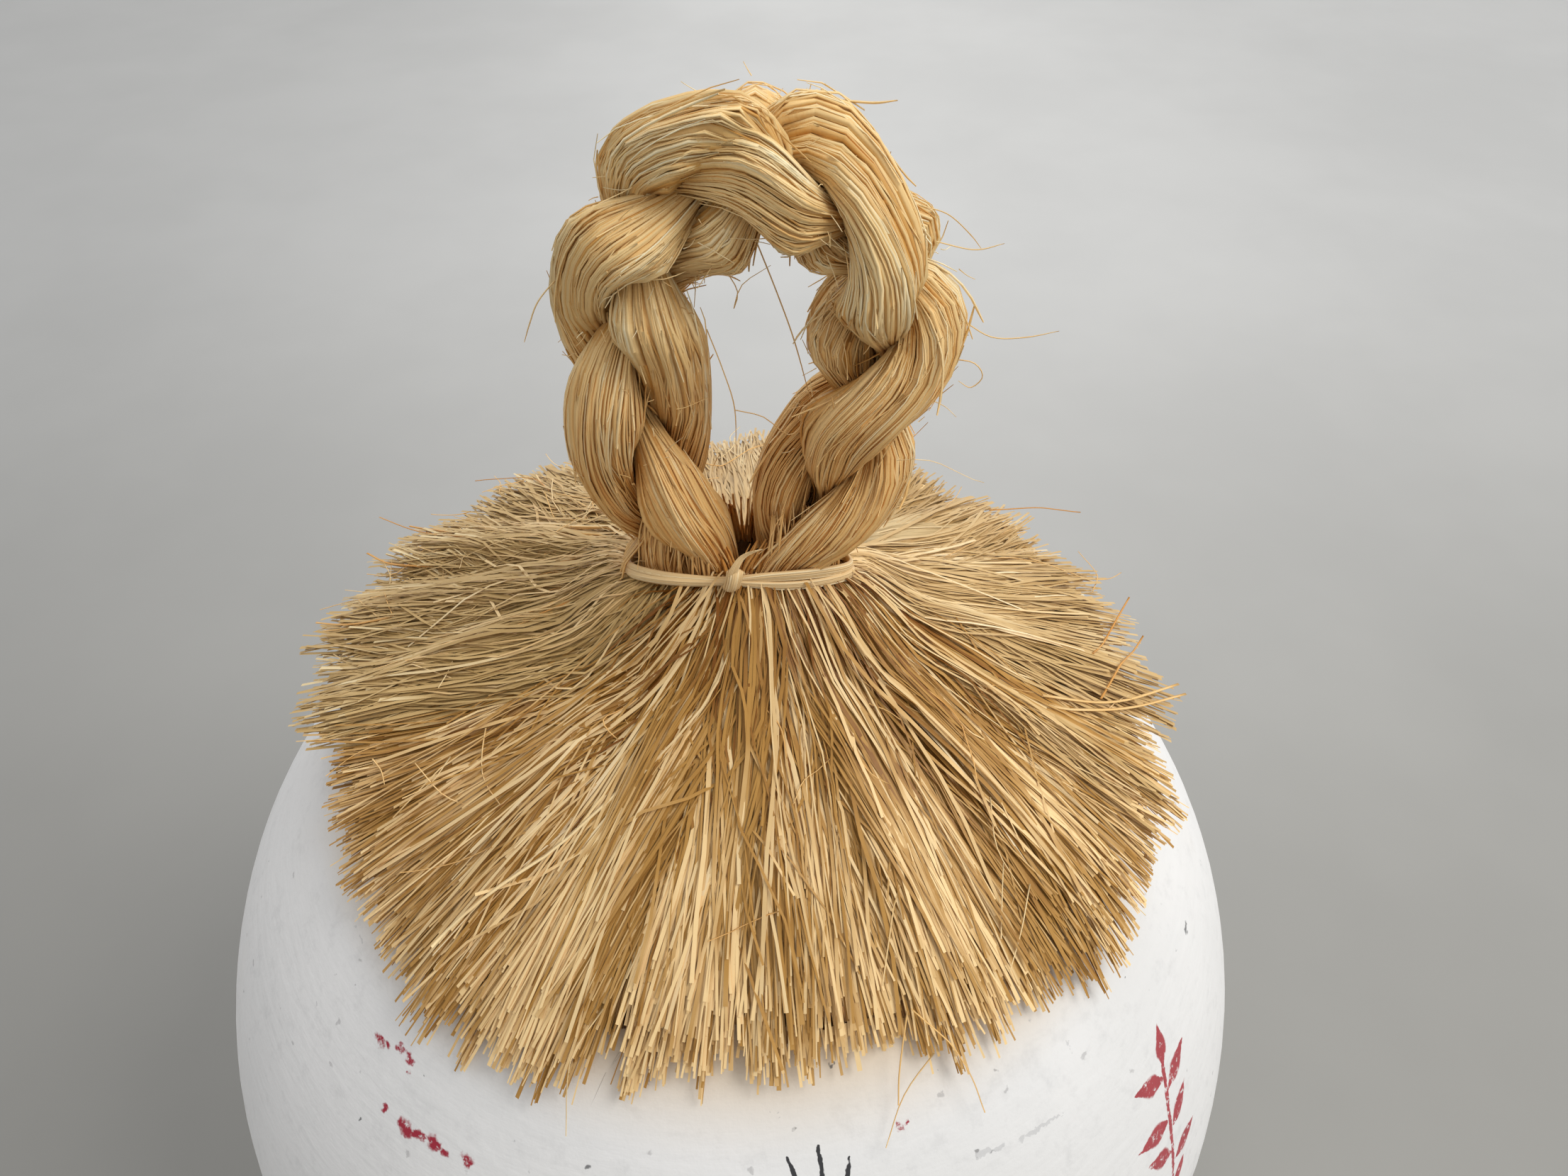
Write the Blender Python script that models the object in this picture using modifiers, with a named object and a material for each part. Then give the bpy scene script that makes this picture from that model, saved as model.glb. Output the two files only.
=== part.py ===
"""Clay bell with a braided hemp handle.

A hollow ball of fired clay, painted white, stands on a small flat foot with a
sound slit through it. A three-strand braid of hemp is bent to an upright loop.
Its two ends are bound side by side by a flat hemp tie, and below the tie the
loose ends fan out over the crown of the ball.

Metres, +Z up. The origin is the middle of the foot's underside, and the side
with the knot faces -Y.
"""

import math

import bmesh
import bpy
from mathutils import Matrix, Vector

# Ball
BODY_RADIUS = 0.036
BODY_WALL = 0.004
FOOT_RADIUS = 0.010
SLIT_WIDTH = 0.005
SLIT_LENGTH = 0.036
SLIT_END_DIAMETER = 0.0085
SLIT_END_SIDES = 20

# Air between pieces that touch in the real bell
CLEARANCE = 0.0003
STRAND_CLEARANCE = 0.00045

# Skirt of loose ends over the crown
SKIRT_RADIUS = 0.0267
SKIRT_REST_RADIUS = 0.014
SKIRT_THICKNESS = 0.0021
SKIRT_RIM_THICKNESS = 0.0013
SKIRT_LOCKS = 17
FINER_LOCKS = 23
FINER_LOCK_WEIGHT = 0.35
LOCK_HEIGHT = 0.0008
LOCK_START_SHARE = 0.62
RAGGED_EDGE = 0.0013
FRONT_SHORTER = 0.05
LEFT_LONGER = 0.05
SHOULDER_SHARE = 0.24
NECK_TURN_SHARE = 0.4
SKIRT_TOP_SHARES = (0.0, 0.06, 0.13, 0.22, 0.38, 0.58, 0.80, 1.0)
SKIRT_UNDER_SHARES = (0.97, 0.45, 0.20, 0.0, -0.5, -0.92)

# Neck where both ends of the braid are bound
HANDLE_OFFSET = 0.0012
NECK_HALF_WIDTH = 0.0056
NECK_HALF_DEPTH = 0.0026
NECK_SQUARENESS = 2.8
NECK_SWELL = 1.3
NECK_SWELL_START = 0.6
TIE_ABOVE_CROWN = 0.0040
TIE_HEIGHT = 0.0014
TIE_TILT = math.radians(13.0)
TIE_THICKNESS = 0.00048
TIE_WRAPS = 2
TIE_WRAP_OVERLAP = 0.15
KNOT_HALF_WIDTH = 0.0009
KNOT_HALF_DEPTH = 0.0006
KNOT_HALF_HEIGHT = 0.0011
KNOT_LEAN = math.radians(14.0)
KNOT_OFFSET = -0.0003
TAIL_RISE = 0.0034
TAIL_REACH = 0.0023
TAIL_STAND_OFF = 0.0008
TAIL_CURVE = 1.4
TAIL_THICKNESS = 0.0005

# Braided loop, measured along the middle of the braid
LOOP_HEIGHT = 0.0221
LOOP_HALF_WIDTH = 0.0063
LOOP_LEAN = 0.0017
LEG_SPREAD_HEIGHT = 0.0165
STRAND_RADIUS = 0.00225
BRAID_HALF_WIDTH = 0.0013
BRAID_HALF_DEPTH = 0.0010
BRAID_PITCH = 0.0230
BRAID_PHASE = 1.05
SLACK_START = 0.014
SLACK_END = 0.009
SLACK_RATE = 0.62
BRAID_TURN = math.radians(-70.0)
TURN_START = 0.28
TURN_SPAN = 0.36
TOP_FULLNESS = 1.16
TIE_PINCH = 0.88
TIE_PINCH_SHARE = 0.05
STRAND_COUNT = 3
LEG_SHARE = 0.3
LEAST_REACH = 0.0002
CORNER_SOFTNESS = 7.0

# How finely the solids are divided
BODY_SEGMENTS = 38
UPPER_STEPS = 10
LOWER_STEPS = 8
SKIRT_SEGMENTS = 56
TIE_SIDES = 24
KNOT_SEGMENTS = 10
KNOT_RINGS = 6
TAIL_STEPS = 3
LOOP_FINE_STEPS = 600
STRAND_STATIONS = 66
STRAND_SIDES = 11

CENTRE_HEIGHT = math.sqrt(BODY_RADIUS**2 - FOOT_RADIUS**2)
CROWN_HEIGHT = CENTRE_HEIGHT + BODY_RADIUS
TIE_LOW = CROWN_HEIGHT + TIE_ABOVE_CROWN
TIE_TOP = TIE_LOW + TIE_HEIGHT
TIE_MIDDLE = (TIE_LOW + TIE_TOP) / 2

OBJECT_NAME = "clay_bell"


def clear_scene():
    for thing in list(bpy.data.objects):
        bpy.data.objects.remove(thing, do_unlink=True)


def new_collection(name):
    collection = bpy.data.collections.new(name)
    bpy.context.scene.collection.children.link(collection)
    return collection


def new_material(name, colour, roughness):
    material = bpy.data.materials.new(name)
    material.use_nodes = True
    shader = material.node_tree.nodes["Principled BSDF"]
    shader.inputs["Base Color"].default_value = (*colour, 1.0)
    shader.inputs["Roughness"].default_value = roughness
    shader.inputs["Metallic"].default_value = 0.0
    return material


def place_object(name, mesh, collection, material=None):
    thing = bpy.data.objects.new(name, mesh)
    collection.objects.link(thing)
    if material:
        mesh.materials.append(material)
    return thing


def mark_as_cutter(thing):
    thing.hide_render = True
    thing.display_type = "WIRE"


def add_boolean(thing, cutter, operation):
    boolean = thing.modifiers.new(operation.title(), "BOOLEAN")
    boolean.operation = operation
    boolean.object = cutter
    boolean.solver = "EXACT"


def shade_round(mesh, sharp_degrees=40.0):
    mesh.shade_smooth()
    mesh.set_sharp_from_angle(angle=math.radians(sharp_degrees))


def loft(name, rings):
    """Close a tube through rings of equal length, with a flat cap at each end."""
    shape = bmesh.new()
    placed = [[shape.verts.new(point) for point in ring] for ring in rings]
    sides = len(placed[0])
    for low, high in zip(placed, placed[1:]):
        for i in range(sides):
            j = (i + 1) % sides
            shape.faces.new((low[i], low[j], high[j], high[i]))
    shape.faces.new(list(reversed(placed[0])))
    shape.faces.new(placed[-1])
    bmesh.ops.recalc_face_normals(shape, faces=shape.faces)
    mesh = bpy.data.meshes.new(name)
    shape.to_mesh(mesh)
    shape.free()
    return mesh


def ease(amount):
    """Smooth step from 0 to 1."""
    amount = min(max(amount, 0.0), 1.0)
    return amount * amount * (3.0 - 2.0 * amount)


# Ball


def body_profile():
    """Half outline of the ball from the crown down to the foot's middle."""
    foot_angle = math.pi - math.asin(FOOT_RADIUS / BODY_RADIUS)
    quarter = math.pi / 2
    angles = [quarter * i / UPPER_STEPS for i in range(UPPER_STEPS)]
    angles += [quarter + (foot_angle - quarter) * i / LOWER_STEPS for i in range(LOWER_STEPS + 1)]
    points = []
    for angle in angles:
        across = BODY_RADIUS * math.sin(angle)
        height = CENTRE_HEIGHT + BODY_RADIUS * math.cos(angle)
        points.append((across, 0.0, height))
    points.append((0.0, 0.0, 0.0))
    return points


def slit_cutter(cutters):
    """Slot through the foot with a round hole at each end, all cut straight up."""
    depth = CENTRE_HEIGHT + BODY_WALL
    middle = depth / 2 - BODY_WALL
    bpy.ops.mesh.primitive_cube_add(size=1.0)
    slot = bpy.context.object
    slot.data.transform(Matrix.Diagonal((SLIT_LENGTH, SLIT_WIDTH, depth, 1.0)))
    slot.data.transform(Matrix.Translation((0.0, 0.0, middle)))
    slot.name = "slit_slot"
    ends = []
    for side in (-1.0, 1.0):
        bpy.ops.mesh.primitive_cylinder_add(
            vertices=SLIT_END_SIDES,
            radius=SLIT_END_DIAMETER / 2,
            depth=depth + CLEARANCE,
            end_fill_type="NGON",
        )
        end = bpy.context.object
        end.data.transform(Matrix.Translation((side * SLIT_LENGTH / 2, 0.0, middle)))
        end.name = "slit_end_left" if side < 0 else "slit_end_right"
        ends.append(end)
    for thing in (slot, *ends):
        for holder in list(thing.users_collection):
            holder.objects.unlink(thing)
        cutters.objects.link(thing)
        mark_as_cutter(thing)
    return [slot, *ends]


def build_body(parts, cutters, clay):
    outline = bpy.data.meshes.new("bell_body")
    points = body_profile()
    edges = [(i, i + 1) for i in range(len(points) - 1)]
    outline.from_pydata(points, edges, [])
    body = place_object("bell_body", outline, parts, clay)
    screw = body.modifiers.new("Turn", "SCREW")
    screw.steps = BODY_SEGMENTS
    screw.render_steps = BODY_SEGMENTS
    screw.use_merge_vertices = True
    screw.merge_threshold = 0.00001
    wall = body.modifiers.new("Wall", "SOLIDIFY")
    wall.thickness = BODY_WALL
    wall.offset = -1.0
    for cutter in slit_cutter(cutters):
        add_boolean(body, cutter, "DIFFERENCE")
    return body


# Neck


def neck_reach(angle, extra=0.0):
    """Distance from the neck's middle to its skin: two round legs side by side."""
    wide = abs(math.cos(angle)) / (NECK_HALF_WIDTH + extra)
    deep = abs(math.sin(angle)) / (NECK_HALF_DEPTH + extra)
    return (wide**NECK_SQUARENESS + deep**NECK_SQUARENESS) ** (-1.0 / NECK_SQUARENESS)


def tie_rise(y):
    """How much higher the tilted tie sits at a distance behind the middle."""
    return -y * math.tan(TIE_TILT)


# Skirt of loose ends


def ball_height(across):
    """Height of the ball's skin at a distance from its axis."""
    return CENTRE_HEIGHT + math.sqrt(max(BODY_RADIUS**2 - across**2, 0.0))


def skirt_underside(across):
    """The loose ends rest on the crown, then run straight off it."""
    if across <= SKIRT_REST_RADIUS:
        return ball_height(across) + CLEARANCE
    fall = SKIRT_REST_RADIUS / math.sqrt(BODY_RADIUS**2 - SKIRT_REST_RADIUS**2)
    start = ball_height(SKIRT_REST_RADIUS) + CLEARANCE
    return start - fall * (across - SKIRT_REST_RADIUS)


def lock_wave(turn):
    """Uneven ridges of the locks round the skirt, from -1 to 1."""
    main = math.cos(SKIRT_LOCKS * turn + 0.9 * math.sin(2.0 * turn))
    finer = math.cos(FINER_LOCKS * turn + 1.3)
    return (1.0 - FINER_LOCK_WEIGHT) * main + FINER_LOCK_WEIGHT * finer


def rim_radius(turn):
    """Ragged edge of the skirt, a little shorter in front."""
    front = 0.5 - 0.5 * math.sin(turn)
    left = max(-math.cos(turn), 0.0)
    cut = RAGGED_EDGE * (0.5 * lock_wave(turn) - 0.5 + 0.35 * math.sin(5.0 * turn + 0.4))
    return SKIRT_RADIUS * (1.0 - FRONT_SHORTER * front + LEFT_LONGER * left) + cut


def skirt_point(turn, share, top):
    """A point on the skirt, share -1 on the axis, 0 at the neck and 1 at the rim."""
    heading = math.atan2(NECK_HALF_DEPTH * math.sin(turn), NECK_HALF_WIDTH * math.cos(turn))
    neck = neck_reach(heading) * (1.0 + min(share, 0.0))
    swing = (turn - heading + math.pi) % (2.0 * math.pi) - math.pi
    heading += swing * ease(share / NECK_TURN_SHARE)
    across = neck + (rim_radius(turn) - neck) * max(share, 0.0)
    x = HANDLE_OFFSET + across * math.cos(heading)
    y = across * math.sin(heading)
    height = skirt_underside(math.hypot(x, y))
    if top:
        thickness = SKIRT_THICKNESS + (SKIRT_RIM_THICKNESS - SKIRT_THICKNESS) * share
        ridge = LOCK_HEIGHT * lock_wave(turn) * ease(share / LOCK_START_SHARE)
        height += thickness + ridge
        shoulder = TIE_LOW - CLEARANCE + tie_rise(y) - height
        height += shoulder * (1.0 - ease(share / SHOULDER_SHARE))
    return Vector((x, y, height))


def skirt_neck(turn):
    """The top of the column of ends that stands inside the tie."""
    heading = math.atan2(NECK_HALF_DEPTH * math.sin(turn), NECK_HALF_WIDTH * math.cos(turn))
    neck = neck_reach(heading)
    x = HANDLE_OFFSET + neck * math.cos(heading)
    return Vector((x, neck * math.sin(heading), TIE_MIDDLE - CLEARANCE))


def build_skirt(parts, hemp):
    turns = [2.0 * math.pi * i / SKIRT_SEGMENTS for i in range(SKIRT_SEGMENTS)]
    rings = [[skirt_neck(turn) for turn in turns]]
    rings += [[skirt_point(turn, share, True) for turn in turns] for share in SKIRT_TOP_SHARES]
    rings += [[skirt_point(turn, share, False) for turn in turns] for share in SKIRT_UNDER_SHARES]
    skirt = place_object("hemp_skirt", loft("hemp_skirt", rings), parts, hemp)
    shade_round(skirt.data)
    return skirt


# Braid


def loop_middle(share):
    """A point on the middle of the braid, in the plane of the loop, and its height."""
    arch = LOOP_HALF_WIDTH
    foot = NECK_HALF_WIDTH / 2 + CLEARANCE / 2
    leg = LOOP_HEIGHT - arch
    leg_length = math.hypot(leg, arch - foot)
    arch_length = math.pi * arch
    total = 2.0 * leg_length + arch_length
    along = share * total
    if along < leg_length or along > total - leg_length:
        climbed = along if along < leg_length else total - along
        height = leg * climbed / leg_length
        spread = math.sin(0.5 * math.pi * min(height / LEG_SPREAD_HEIGHT, 1.0))
        side = -1.0 if along < leg_length else 1.0
        across = side * (foot + (arch - foot) * spread)
    else:
        angle = (along - leg_length) / arch
        across = -arch * math.cos(angle)
        height = leg + arch * math.sin(angle)
    lean = LOOP_LEAN * ease(height / LOOP_HEIGHT)
    return Vector((HANDLE_OFFSET + lean + across, 0.0, TIE_MIDDLE + height))


def loop_course(stations):
    """Evenly spaced points along the loop with the direction towards its eye."""
    fine = [loop_middle(i / LOOP_FINE_STEPS) for i in range(LOOP_FINE_STEPS + 1)]
    reached = [0.0]
    for before, after in zip(fine, fine[1:]):
        reached.append(reached[-1] + (after - before).length)
    course = []
    cursor = 0
    for station in range(stations + 1):
        wanted = reached[-1] * station / stations
        while cursor < LOOP_FINE_STEPS - 1 and reached[cursor + 1] < wanted:
            cursor += 1
        step = reached[cursor + 1] - reached[cursor]
        point = fine[cursor].lerp(fine[cursor + 1], (wanted - reached[cursor]) / step)
        low = fine[max(cursor - 6, 0)]
        high = fine[min(cursor + 7, LOOP_FINE_STEPS)]
        onward = (high - low).normalized()
        upright = Vector((0.0, 0.0, math.copysign(1.0, onward.z)))
        onward = upright.lerp(onward, ease((point.z - TIE_MIDDLE) / TIE_HEIGHT)).normalized()
        inward = Vector((onward.z, 0.0, -onward.x))
        course.append((wanted, reached[-1], point, inward))
    return course


def braid_fullness(share):
    """Thickness of the braid along the loop, fuller at the top, pinched at the tie."""
    arch = math.sin(math.pi * share) ** 2
    free = ease(min(share, 1.0 - share) / TIE_PINCH_SHARE)
    return (1.0 + (TOP_FULLNESS - 1.0) * arch) * (TIE_PINCH + (1.0 - TIE_PINCH) * free)


def braid_progress(along, total):
    """Length of evenly braided loop reached; near the tie the strands lie slacker."""
    if along < SLACK_START:
        return SLACK_START - (SLACK_START - along) * SLACK_RATE
    if along > total - SLACK_END:
        return total - SLACK_END + (along - total + SLACK_END) * SLACK_RATE
    return along


def strand_centres(along, total):
    """Middle of each strand in the braid's section at one station."""
    share = along / total
    progress = (braid_progress(along, total) - total / 2) / BRAID_PITCH
    fullness = braid_fullness(share)
    turn = BRAID_TURN * ease((share - TURN_START) / TURN_SPAN)
    centres = []
    for number in range(STRAND_COUNT):
        phase = BRAID_PHASE + 2.0 * math.pi * (progress + number / STRAND_COUNT)
        inward = BRAID_HALF_WIDTH * fullness * math.sin(phase)
        forward = -BRAID_HALF_DEPTH * fullness * math.sin(2.0 * phase)
        centres.append(
            Vector(
                (
                    inward * math.cos(turn) - forward * math.sin(turn),
                    inward * math.sin(turn) + forward * math.cos(turn),
                )
            )
        )
    return centres


def skin_limits(centres, number, angle):
    """How far a strand may reach before it presses on each of the other two."""
    outward = Vector((math.cos(angle), math.sin(angle)))
    limits = []
    for other, centre in enumerate(centres):
        if other == number:
            continue
        apart = centre - centres[number]
        facing = outward.dot(apart.normalized())
        if facing > 0.02:
            limits.append((apart.length / 2 - STRAND_CLEARANCE / 2) / facing)
    return limits


def neck_limits(middle, direction, height):
    """How far a strand may reach inside the tie and towards the other leg."""
    lean = LOOP_LEAN * ease(height / LOOP_HEIGHT)
    across = middle.x - HANDLE_OFFSET - lean
    limits = []
    closing = -direction.x * math.copysign(1.0, across)
    if closing > 0.02:
        limits.append(max(abs(across) - CLEARANCE / 2, LEAST_REACH) / closing)
    low = 0.0
    high = 2.0 * NECK_HALF_WIDTH
    for _ in range(14):
        reach = (low + high) / 2
        x = across + direction.x * reach
        y = middle.y + direction.y * reach
        free = height + direction.z * reach - tie_rise(y) - TIE_HEIGHT * NECK_SWELL_START
        swell = max(free, 0.0) * NECK_SWELL
        if math.hypot(x, y) < neck_reach(math.atan2(y, x), swell):
            low = reach
        else:
            high = reach
    limits.append(max(low, LEAST_REACH))
    return limits


def soft_least(limits):
    """The least of several lengths, rounded off where two are alike."""
    least = min(limits)
    total = sum((limit / least) ** -CORNER_SOFTNESS for limit in limits)
    return least * total ** (-1.0 / CORNER_SOFTNESS)


def strand_rings(number):
    rings = []
    for along, total, point, inward in loop_course(STRAND_STATIONS):
        share = along / total
        centres = strand_centres(along, total)
        radius = STRAND_RADIUS * braid_fullness(share)
        forward = Vector((0.0, -1.0, 0.0))
        middle = point + inward * centres[number].x + forward * centres[number].y
        ring = []
        for side in range(STRAND_SIDES):
            angle = 2.0 * math.pi * side / STRAND_SIDES
            direction = inward * math.cos(angle) + forward * math.sin(angle)
            limits = [radius, *skin_limits(centres, number, angle)]
            if min(share, 1.0 - share) < LEG_SHARE:
                limits += neck_limits(middle, direction, middle.z - TIE_MIDDLE)
            ring.append(middle + direction * soft_least(limits))
        rings.append(ring)
    return rings


def build_strands(parts, hemp):
    strands = []
    for number, name in enumerate(("first", "second", "third")):
        title = f"braid_strand_{name}"
        strand = place_object(title, loft(title, strand_rings(number)), parts, hemp)
        shade_round(strand.data, 60.0)
        strands.append(strand)
    return strands


# Tie


def tie_wrap(number, cutters):
    """One flat turn of the tie round the bound neck."""
    height = TIE_HEIGHT / TIE_WRAPS
    middle = TIE_LOW + height * (number + 0.5)
    bpy.ops.mesh.primitive_cylinder_add(
        vertices=TIE_SIDES,
        radius=1.0,
        depth=height * (1.0 + TIE_WRAP_OVERLAP),
        end_fill_type="NOTHING",
    )
    wrap = bpy.context.object
    for corner in wrap.data.vertices:
        turn = math.atan2(corner.co.y, corner.co.x)
        heading = math.atan2(NECK_HALF_DEPTH * math.sin(turn), NECK_HALF_WIDTH * math.cos(turn))
        reach = neck_reach(heading, CLEARANCE)
        corner.co.x = HANDLE_OFFSET + reach * math.cos(heading)
        corner.co.y = reach * math.sin(heading)
        corner.co.z += middle + tie_rise(corner.co.y)
    wrap.name = f"tie_wrap_{number + 1}"
    shell = wrap.modifiers.new("Thickness", "SOLIDIFY")
    shell.thickness = TIE_THICKNESS
    shell.offset = 1.0
    for holder in list(wrap.users_collection):
        holder.objects.unlink(wrap)
    cutters.objects.link(wrap)
    mark_as_cutter(wrap)
    return wrap


def tie_knot(cutters):
    """The knot in front, an egg shape with its long way across the tie."""
    bpy.ops.mesh.primitive_uv_sphere_add(segments=KNOT_SEGMENTS, ring_count=KNOT_RINGS, radius=1.0)
    knot = bpy.context.object
    front = -(NECK_HALF_DEPTH + CLEARANCE + TIE_THICKNESS)
    middle = TIE_MIDDLE + tie_rise(front)
    halves = (KNOT_HALF_WIDTH, KNOT_HALF_DEPTH, KNOT_HALF_HEIGHT, 1.0)
    knot.data.transform(Matrix.Diagonal(halves))
    knot.data.transform(Matrix.Rotation(KNOT_LEAN, 4, "Y"))
    knot.data.transform(Matrix.Translation((HANDLE_OFFSET + KNOT_OFFSET, front, middle)))
    knot.name = "tie_knot"
    for holder in list(knot.users_collection):
        holder.objects.unlink(knot)
    cutters.objects.link(knot)
    mark_as_cutter(knot)
    return knot


def tie_tail(cutters):
    """The short end that leaves the knot up and to the right."""
    route = bpy.data.curves.new("tie_tail_route", "CURVE")
    route.dimensions = "3D"
    route.bevel_depth = TAIL_THICKNESS / 2
    route.bevel_resolution = 1
    route.use_fill_caps = True
    spline = route.splines.new("POLY")
    spline.points.add(TAIL_STEPS)
    front = -(NECK_HALF_DEPTH + CLEARANCE + TIE_THICKNESS)
    for i in range(TAIL_STEPS + 1):
        share = i / TAIL_STEPS
        x = HANDLE_OFFSET + TAIL_REACH * share**TAIL_CURVE
        y = front - KNOT_HALF_DEPTH / 2 - TAIL_STAND_OFF * share
        z = TIE_MIDDLE + tie_rise(front) + TAIL_RISE * share
        spline.points[i].co = (x, y, z, 1.0)
    guide = bpy.data.objects.new("tie_tail_guide", route)
    cutters.objects.link(guide)
    bpy.context.view_layer.update()
    shaped = guide.evaluated_get(bpy.context.evaluated_depsgraph_get())
    mesh = bpy.data.meshes.new_from_object(shaped)
    mesh.name = "tie_tail"
    weld = bmesh.new()
    weld.from_mesh(mesh)
    bmesh.ops.remove_doubles(weld, verts=weld.verts, dist=0.00001)
    bmesh.ops.recalc_face_normals(weld, faces=weld.faces)
    weld.to_mesh(mesh)
    weld.free()
    tail = bpy.data.objects.new("tie_tail", mesh)
    tail.matrix_world = guide.matrix_world
    cutters.objects.link(tail)
    mark_as_cutter(tail)
    bpy.data.objects.remove(guide, do_unlink=True)
    return tail


def build_tie(parts, cutters, hemp):
    wraps = [tie_wrap(number, cutters) for number in range(TIE_WRAPS)]
    tie = wraps[0]
    cutters.objects.unlink(tie)
    parts.objects.link(tie)
    tie.name = "hemp_tie"
    tie.hide_render = False
    tie.display_type = "TEXTURED"
    tie.data.materials.append(hemp)
    for extra in (*wraps[1:], tie_knot(cutters), tie_tail(cutters)):
        add_boolean(tie, extra, "UNION")
    return tie


def main():
    clear_scene()
    parts = new_collection(OBJECT_NAME)
    cutters = new_collection("cutters")
    clay = new_material("white_painted_clay", (0.80, 0.79, 0.76), 0.9)
    hemp = new_material("hemp_fibre", (0.62, 0.42, 0.19), 0.6)
    ribbon = new_material("hemp_ribbon", (0.72, 0.54, 0.29), 0.55)
    build_body(parts, cutters, clay)
    build_skirt(parts, hemp)
    build_strands(parts, hemp)
    build_tie(parts, cutters, ribbon)


main()
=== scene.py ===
"""The looks of a clay bell: a white-painted ball of fired clay with a braided hemp loop.

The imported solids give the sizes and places. The hemp is made of single fibres: those of the
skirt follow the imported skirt's form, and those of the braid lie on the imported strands.
Metres, +Z up, and the side with the knot faces -Y.
"""

import math
from dataclasses import dataclass
from types import SimpleNamespace

import bmesh
import bpy
import numpy as np
from mathutils import Matrix, Vector, noise
from mathutils.bvhtree import BVHTree


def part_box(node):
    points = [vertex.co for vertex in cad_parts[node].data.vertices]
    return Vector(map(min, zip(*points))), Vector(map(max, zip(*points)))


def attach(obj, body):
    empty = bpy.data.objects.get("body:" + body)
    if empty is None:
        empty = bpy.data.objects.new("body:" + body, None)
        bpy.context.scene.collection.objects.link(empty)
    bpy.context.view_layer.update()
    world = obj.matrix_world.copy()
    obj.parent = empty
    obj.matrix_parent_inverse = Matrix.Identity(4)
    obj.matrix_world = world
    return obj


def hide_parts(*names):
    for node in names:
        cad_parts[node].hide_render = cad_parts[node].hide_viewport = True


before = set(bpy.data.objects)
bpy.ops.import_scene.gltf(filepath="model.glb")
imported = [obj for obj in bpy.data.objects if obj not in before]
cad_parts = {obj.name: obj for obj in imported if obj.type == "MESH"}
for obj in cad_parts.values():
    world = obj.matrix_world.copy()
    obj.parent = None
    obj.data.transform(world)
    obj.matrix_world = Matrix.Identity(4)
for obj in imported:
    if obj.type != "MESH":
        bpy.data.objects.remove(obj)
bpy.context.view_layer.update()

MM = 0.001
FORWARD = Vector((0.0, -1.0, 0.0))

# Ball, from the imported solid
BALL_LOW, BALL_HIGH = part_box("bell_body")
BALL_RADIUS = (BALL_HIGH.x - BALL_LOW.x) / 2
BALL_CENTRE = Vector((0.0, 0.0, BALL_HIGH.z - BALL_RADIUS))
FOOT_RADIUS = math.sqrt(BALL_RADIUS**2 - BALL_CENTRE.z**2)
WALL = 4.0 * MM
SLIT_WIDTH = 5.0 * MM
SLIT_LENGTH = 36.0 * MM
SLIT_END_RADIUS = 4.25 * MM
BALL_RINGS = 64
BALL_SEGMENTS = 128

# The hand-made ball's unevenness: (scale, height) of broad and of fine lumps, and how far it lies in
LUMPS = ((55.0, 0.10 * MM), (140.0, 0.03 * MM))
LUMPS_SINK = 0.08 * MM

# Neck and tie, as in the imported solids
CLEARANCE = 0.3 * MM
HANDLE_OFFSET = 1.2 * MM
NECK_HALF_WIDTH = 5.6 * MM
NECK_HALF_DEPTH = 2.6 * MM
NECK_SQUARENESS = 2.8
TIE_LOW = BALL_HIGH.z + 4.0 * MM
TIE_HEIGHT = 1.4 * MM
TIE_MIDDLE = TIE_LOW + TIE_HEIGHT / 2

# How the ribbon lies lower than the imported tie, rides up in front and drops behind
TIE_DROP = 0.45 * MM
TIE_FRONT_RISE = 1.25 * MM
TIE_BACK_DROP = 0.25 * MM
TIE_RIDE_DEPTH = 3.2 * MM

# Braided loop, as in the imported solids
LOOP_HEIGHT = 22.1 * MM
LOOP_HALF_WIDTH = 6.3 * MM
LOOP_LEAN = 1.7 * MM
LEG_SPREAD_HEIGHT = 16.5 * MM
BRAID_HALF_WIDTH = 1.3 * MM
BRAID_HALF_DEPTH = 1.0 * MM
BRAID_PITCH = 23.0 * MM
BRAID_PHASE = 1.05
SLACK_START = 14.0 * MM
SLACK_END = 9.0 * MM
SLACK_RATE = 0.62
BRAID_TURN = math.radians(-70.0)
TURN_START = 0.28
TURN_SPAN = 0.36
TOP_FULLNESS = 1.16
TIE_PINCH = 0.88
TIE_PINCH_SHARE = 0.05
LOOP_FINE_STEPS = 600

# Camera, in ball radii from the ball's middle
CAMERA_RIGHT = 0.10
CAMERA_FORWARD = -1.35
CAMERA_UP = 2.338
CAMERA_DOWN_TILT = math.radians(43.5)
FOCAL_PIXELS = 1670.0
PHOTO_WIDTH = 2212.0
SENSOR_MM = 36.0

# Light: (name, place, target, size, power, colour), then the room's own light
LIGHTS = (
    ("window_light", (0.34, -0.09, 0.48), (0.0, 0.0, 0.04), 0.30, 1.62, (1.0, 0.985, 0.955)),
    ("back_light", (0.02, 0.46, 0.40), (0.0, 0.26, 0.0), 0.50, 1.15, (1.0, 1.0, 1.0)),
)
ROOM_COLOUR = (0.98, 0.985, 1.0, 1.0)
ROOM_STRENGTH = 0.655
FLOOR_HALF_WIDTH = 1.5


def ease(amount):
    """Smooth step from 0 to 1, for numbers and arrays."""
    amount = np.clip(amount, 0.0, 1.0)
    return amount * amount * (3.0 - 2.0 * amount)


def add_object(name, data):
    thing = bpy.data.objects.new(name, data)
    bpy.context.scene.collection.objects.link(thing)
    return thing


def finish_piece(thing, material, slot, *nodes):
    """A finished piece rides the bell and stands for the solids named."""
    thing.data.materials.clear()
    thing.data.materials.append(material)
    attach(thing, "root")
    if nodes:
        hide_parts(*nodes)
    return thing


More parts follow.
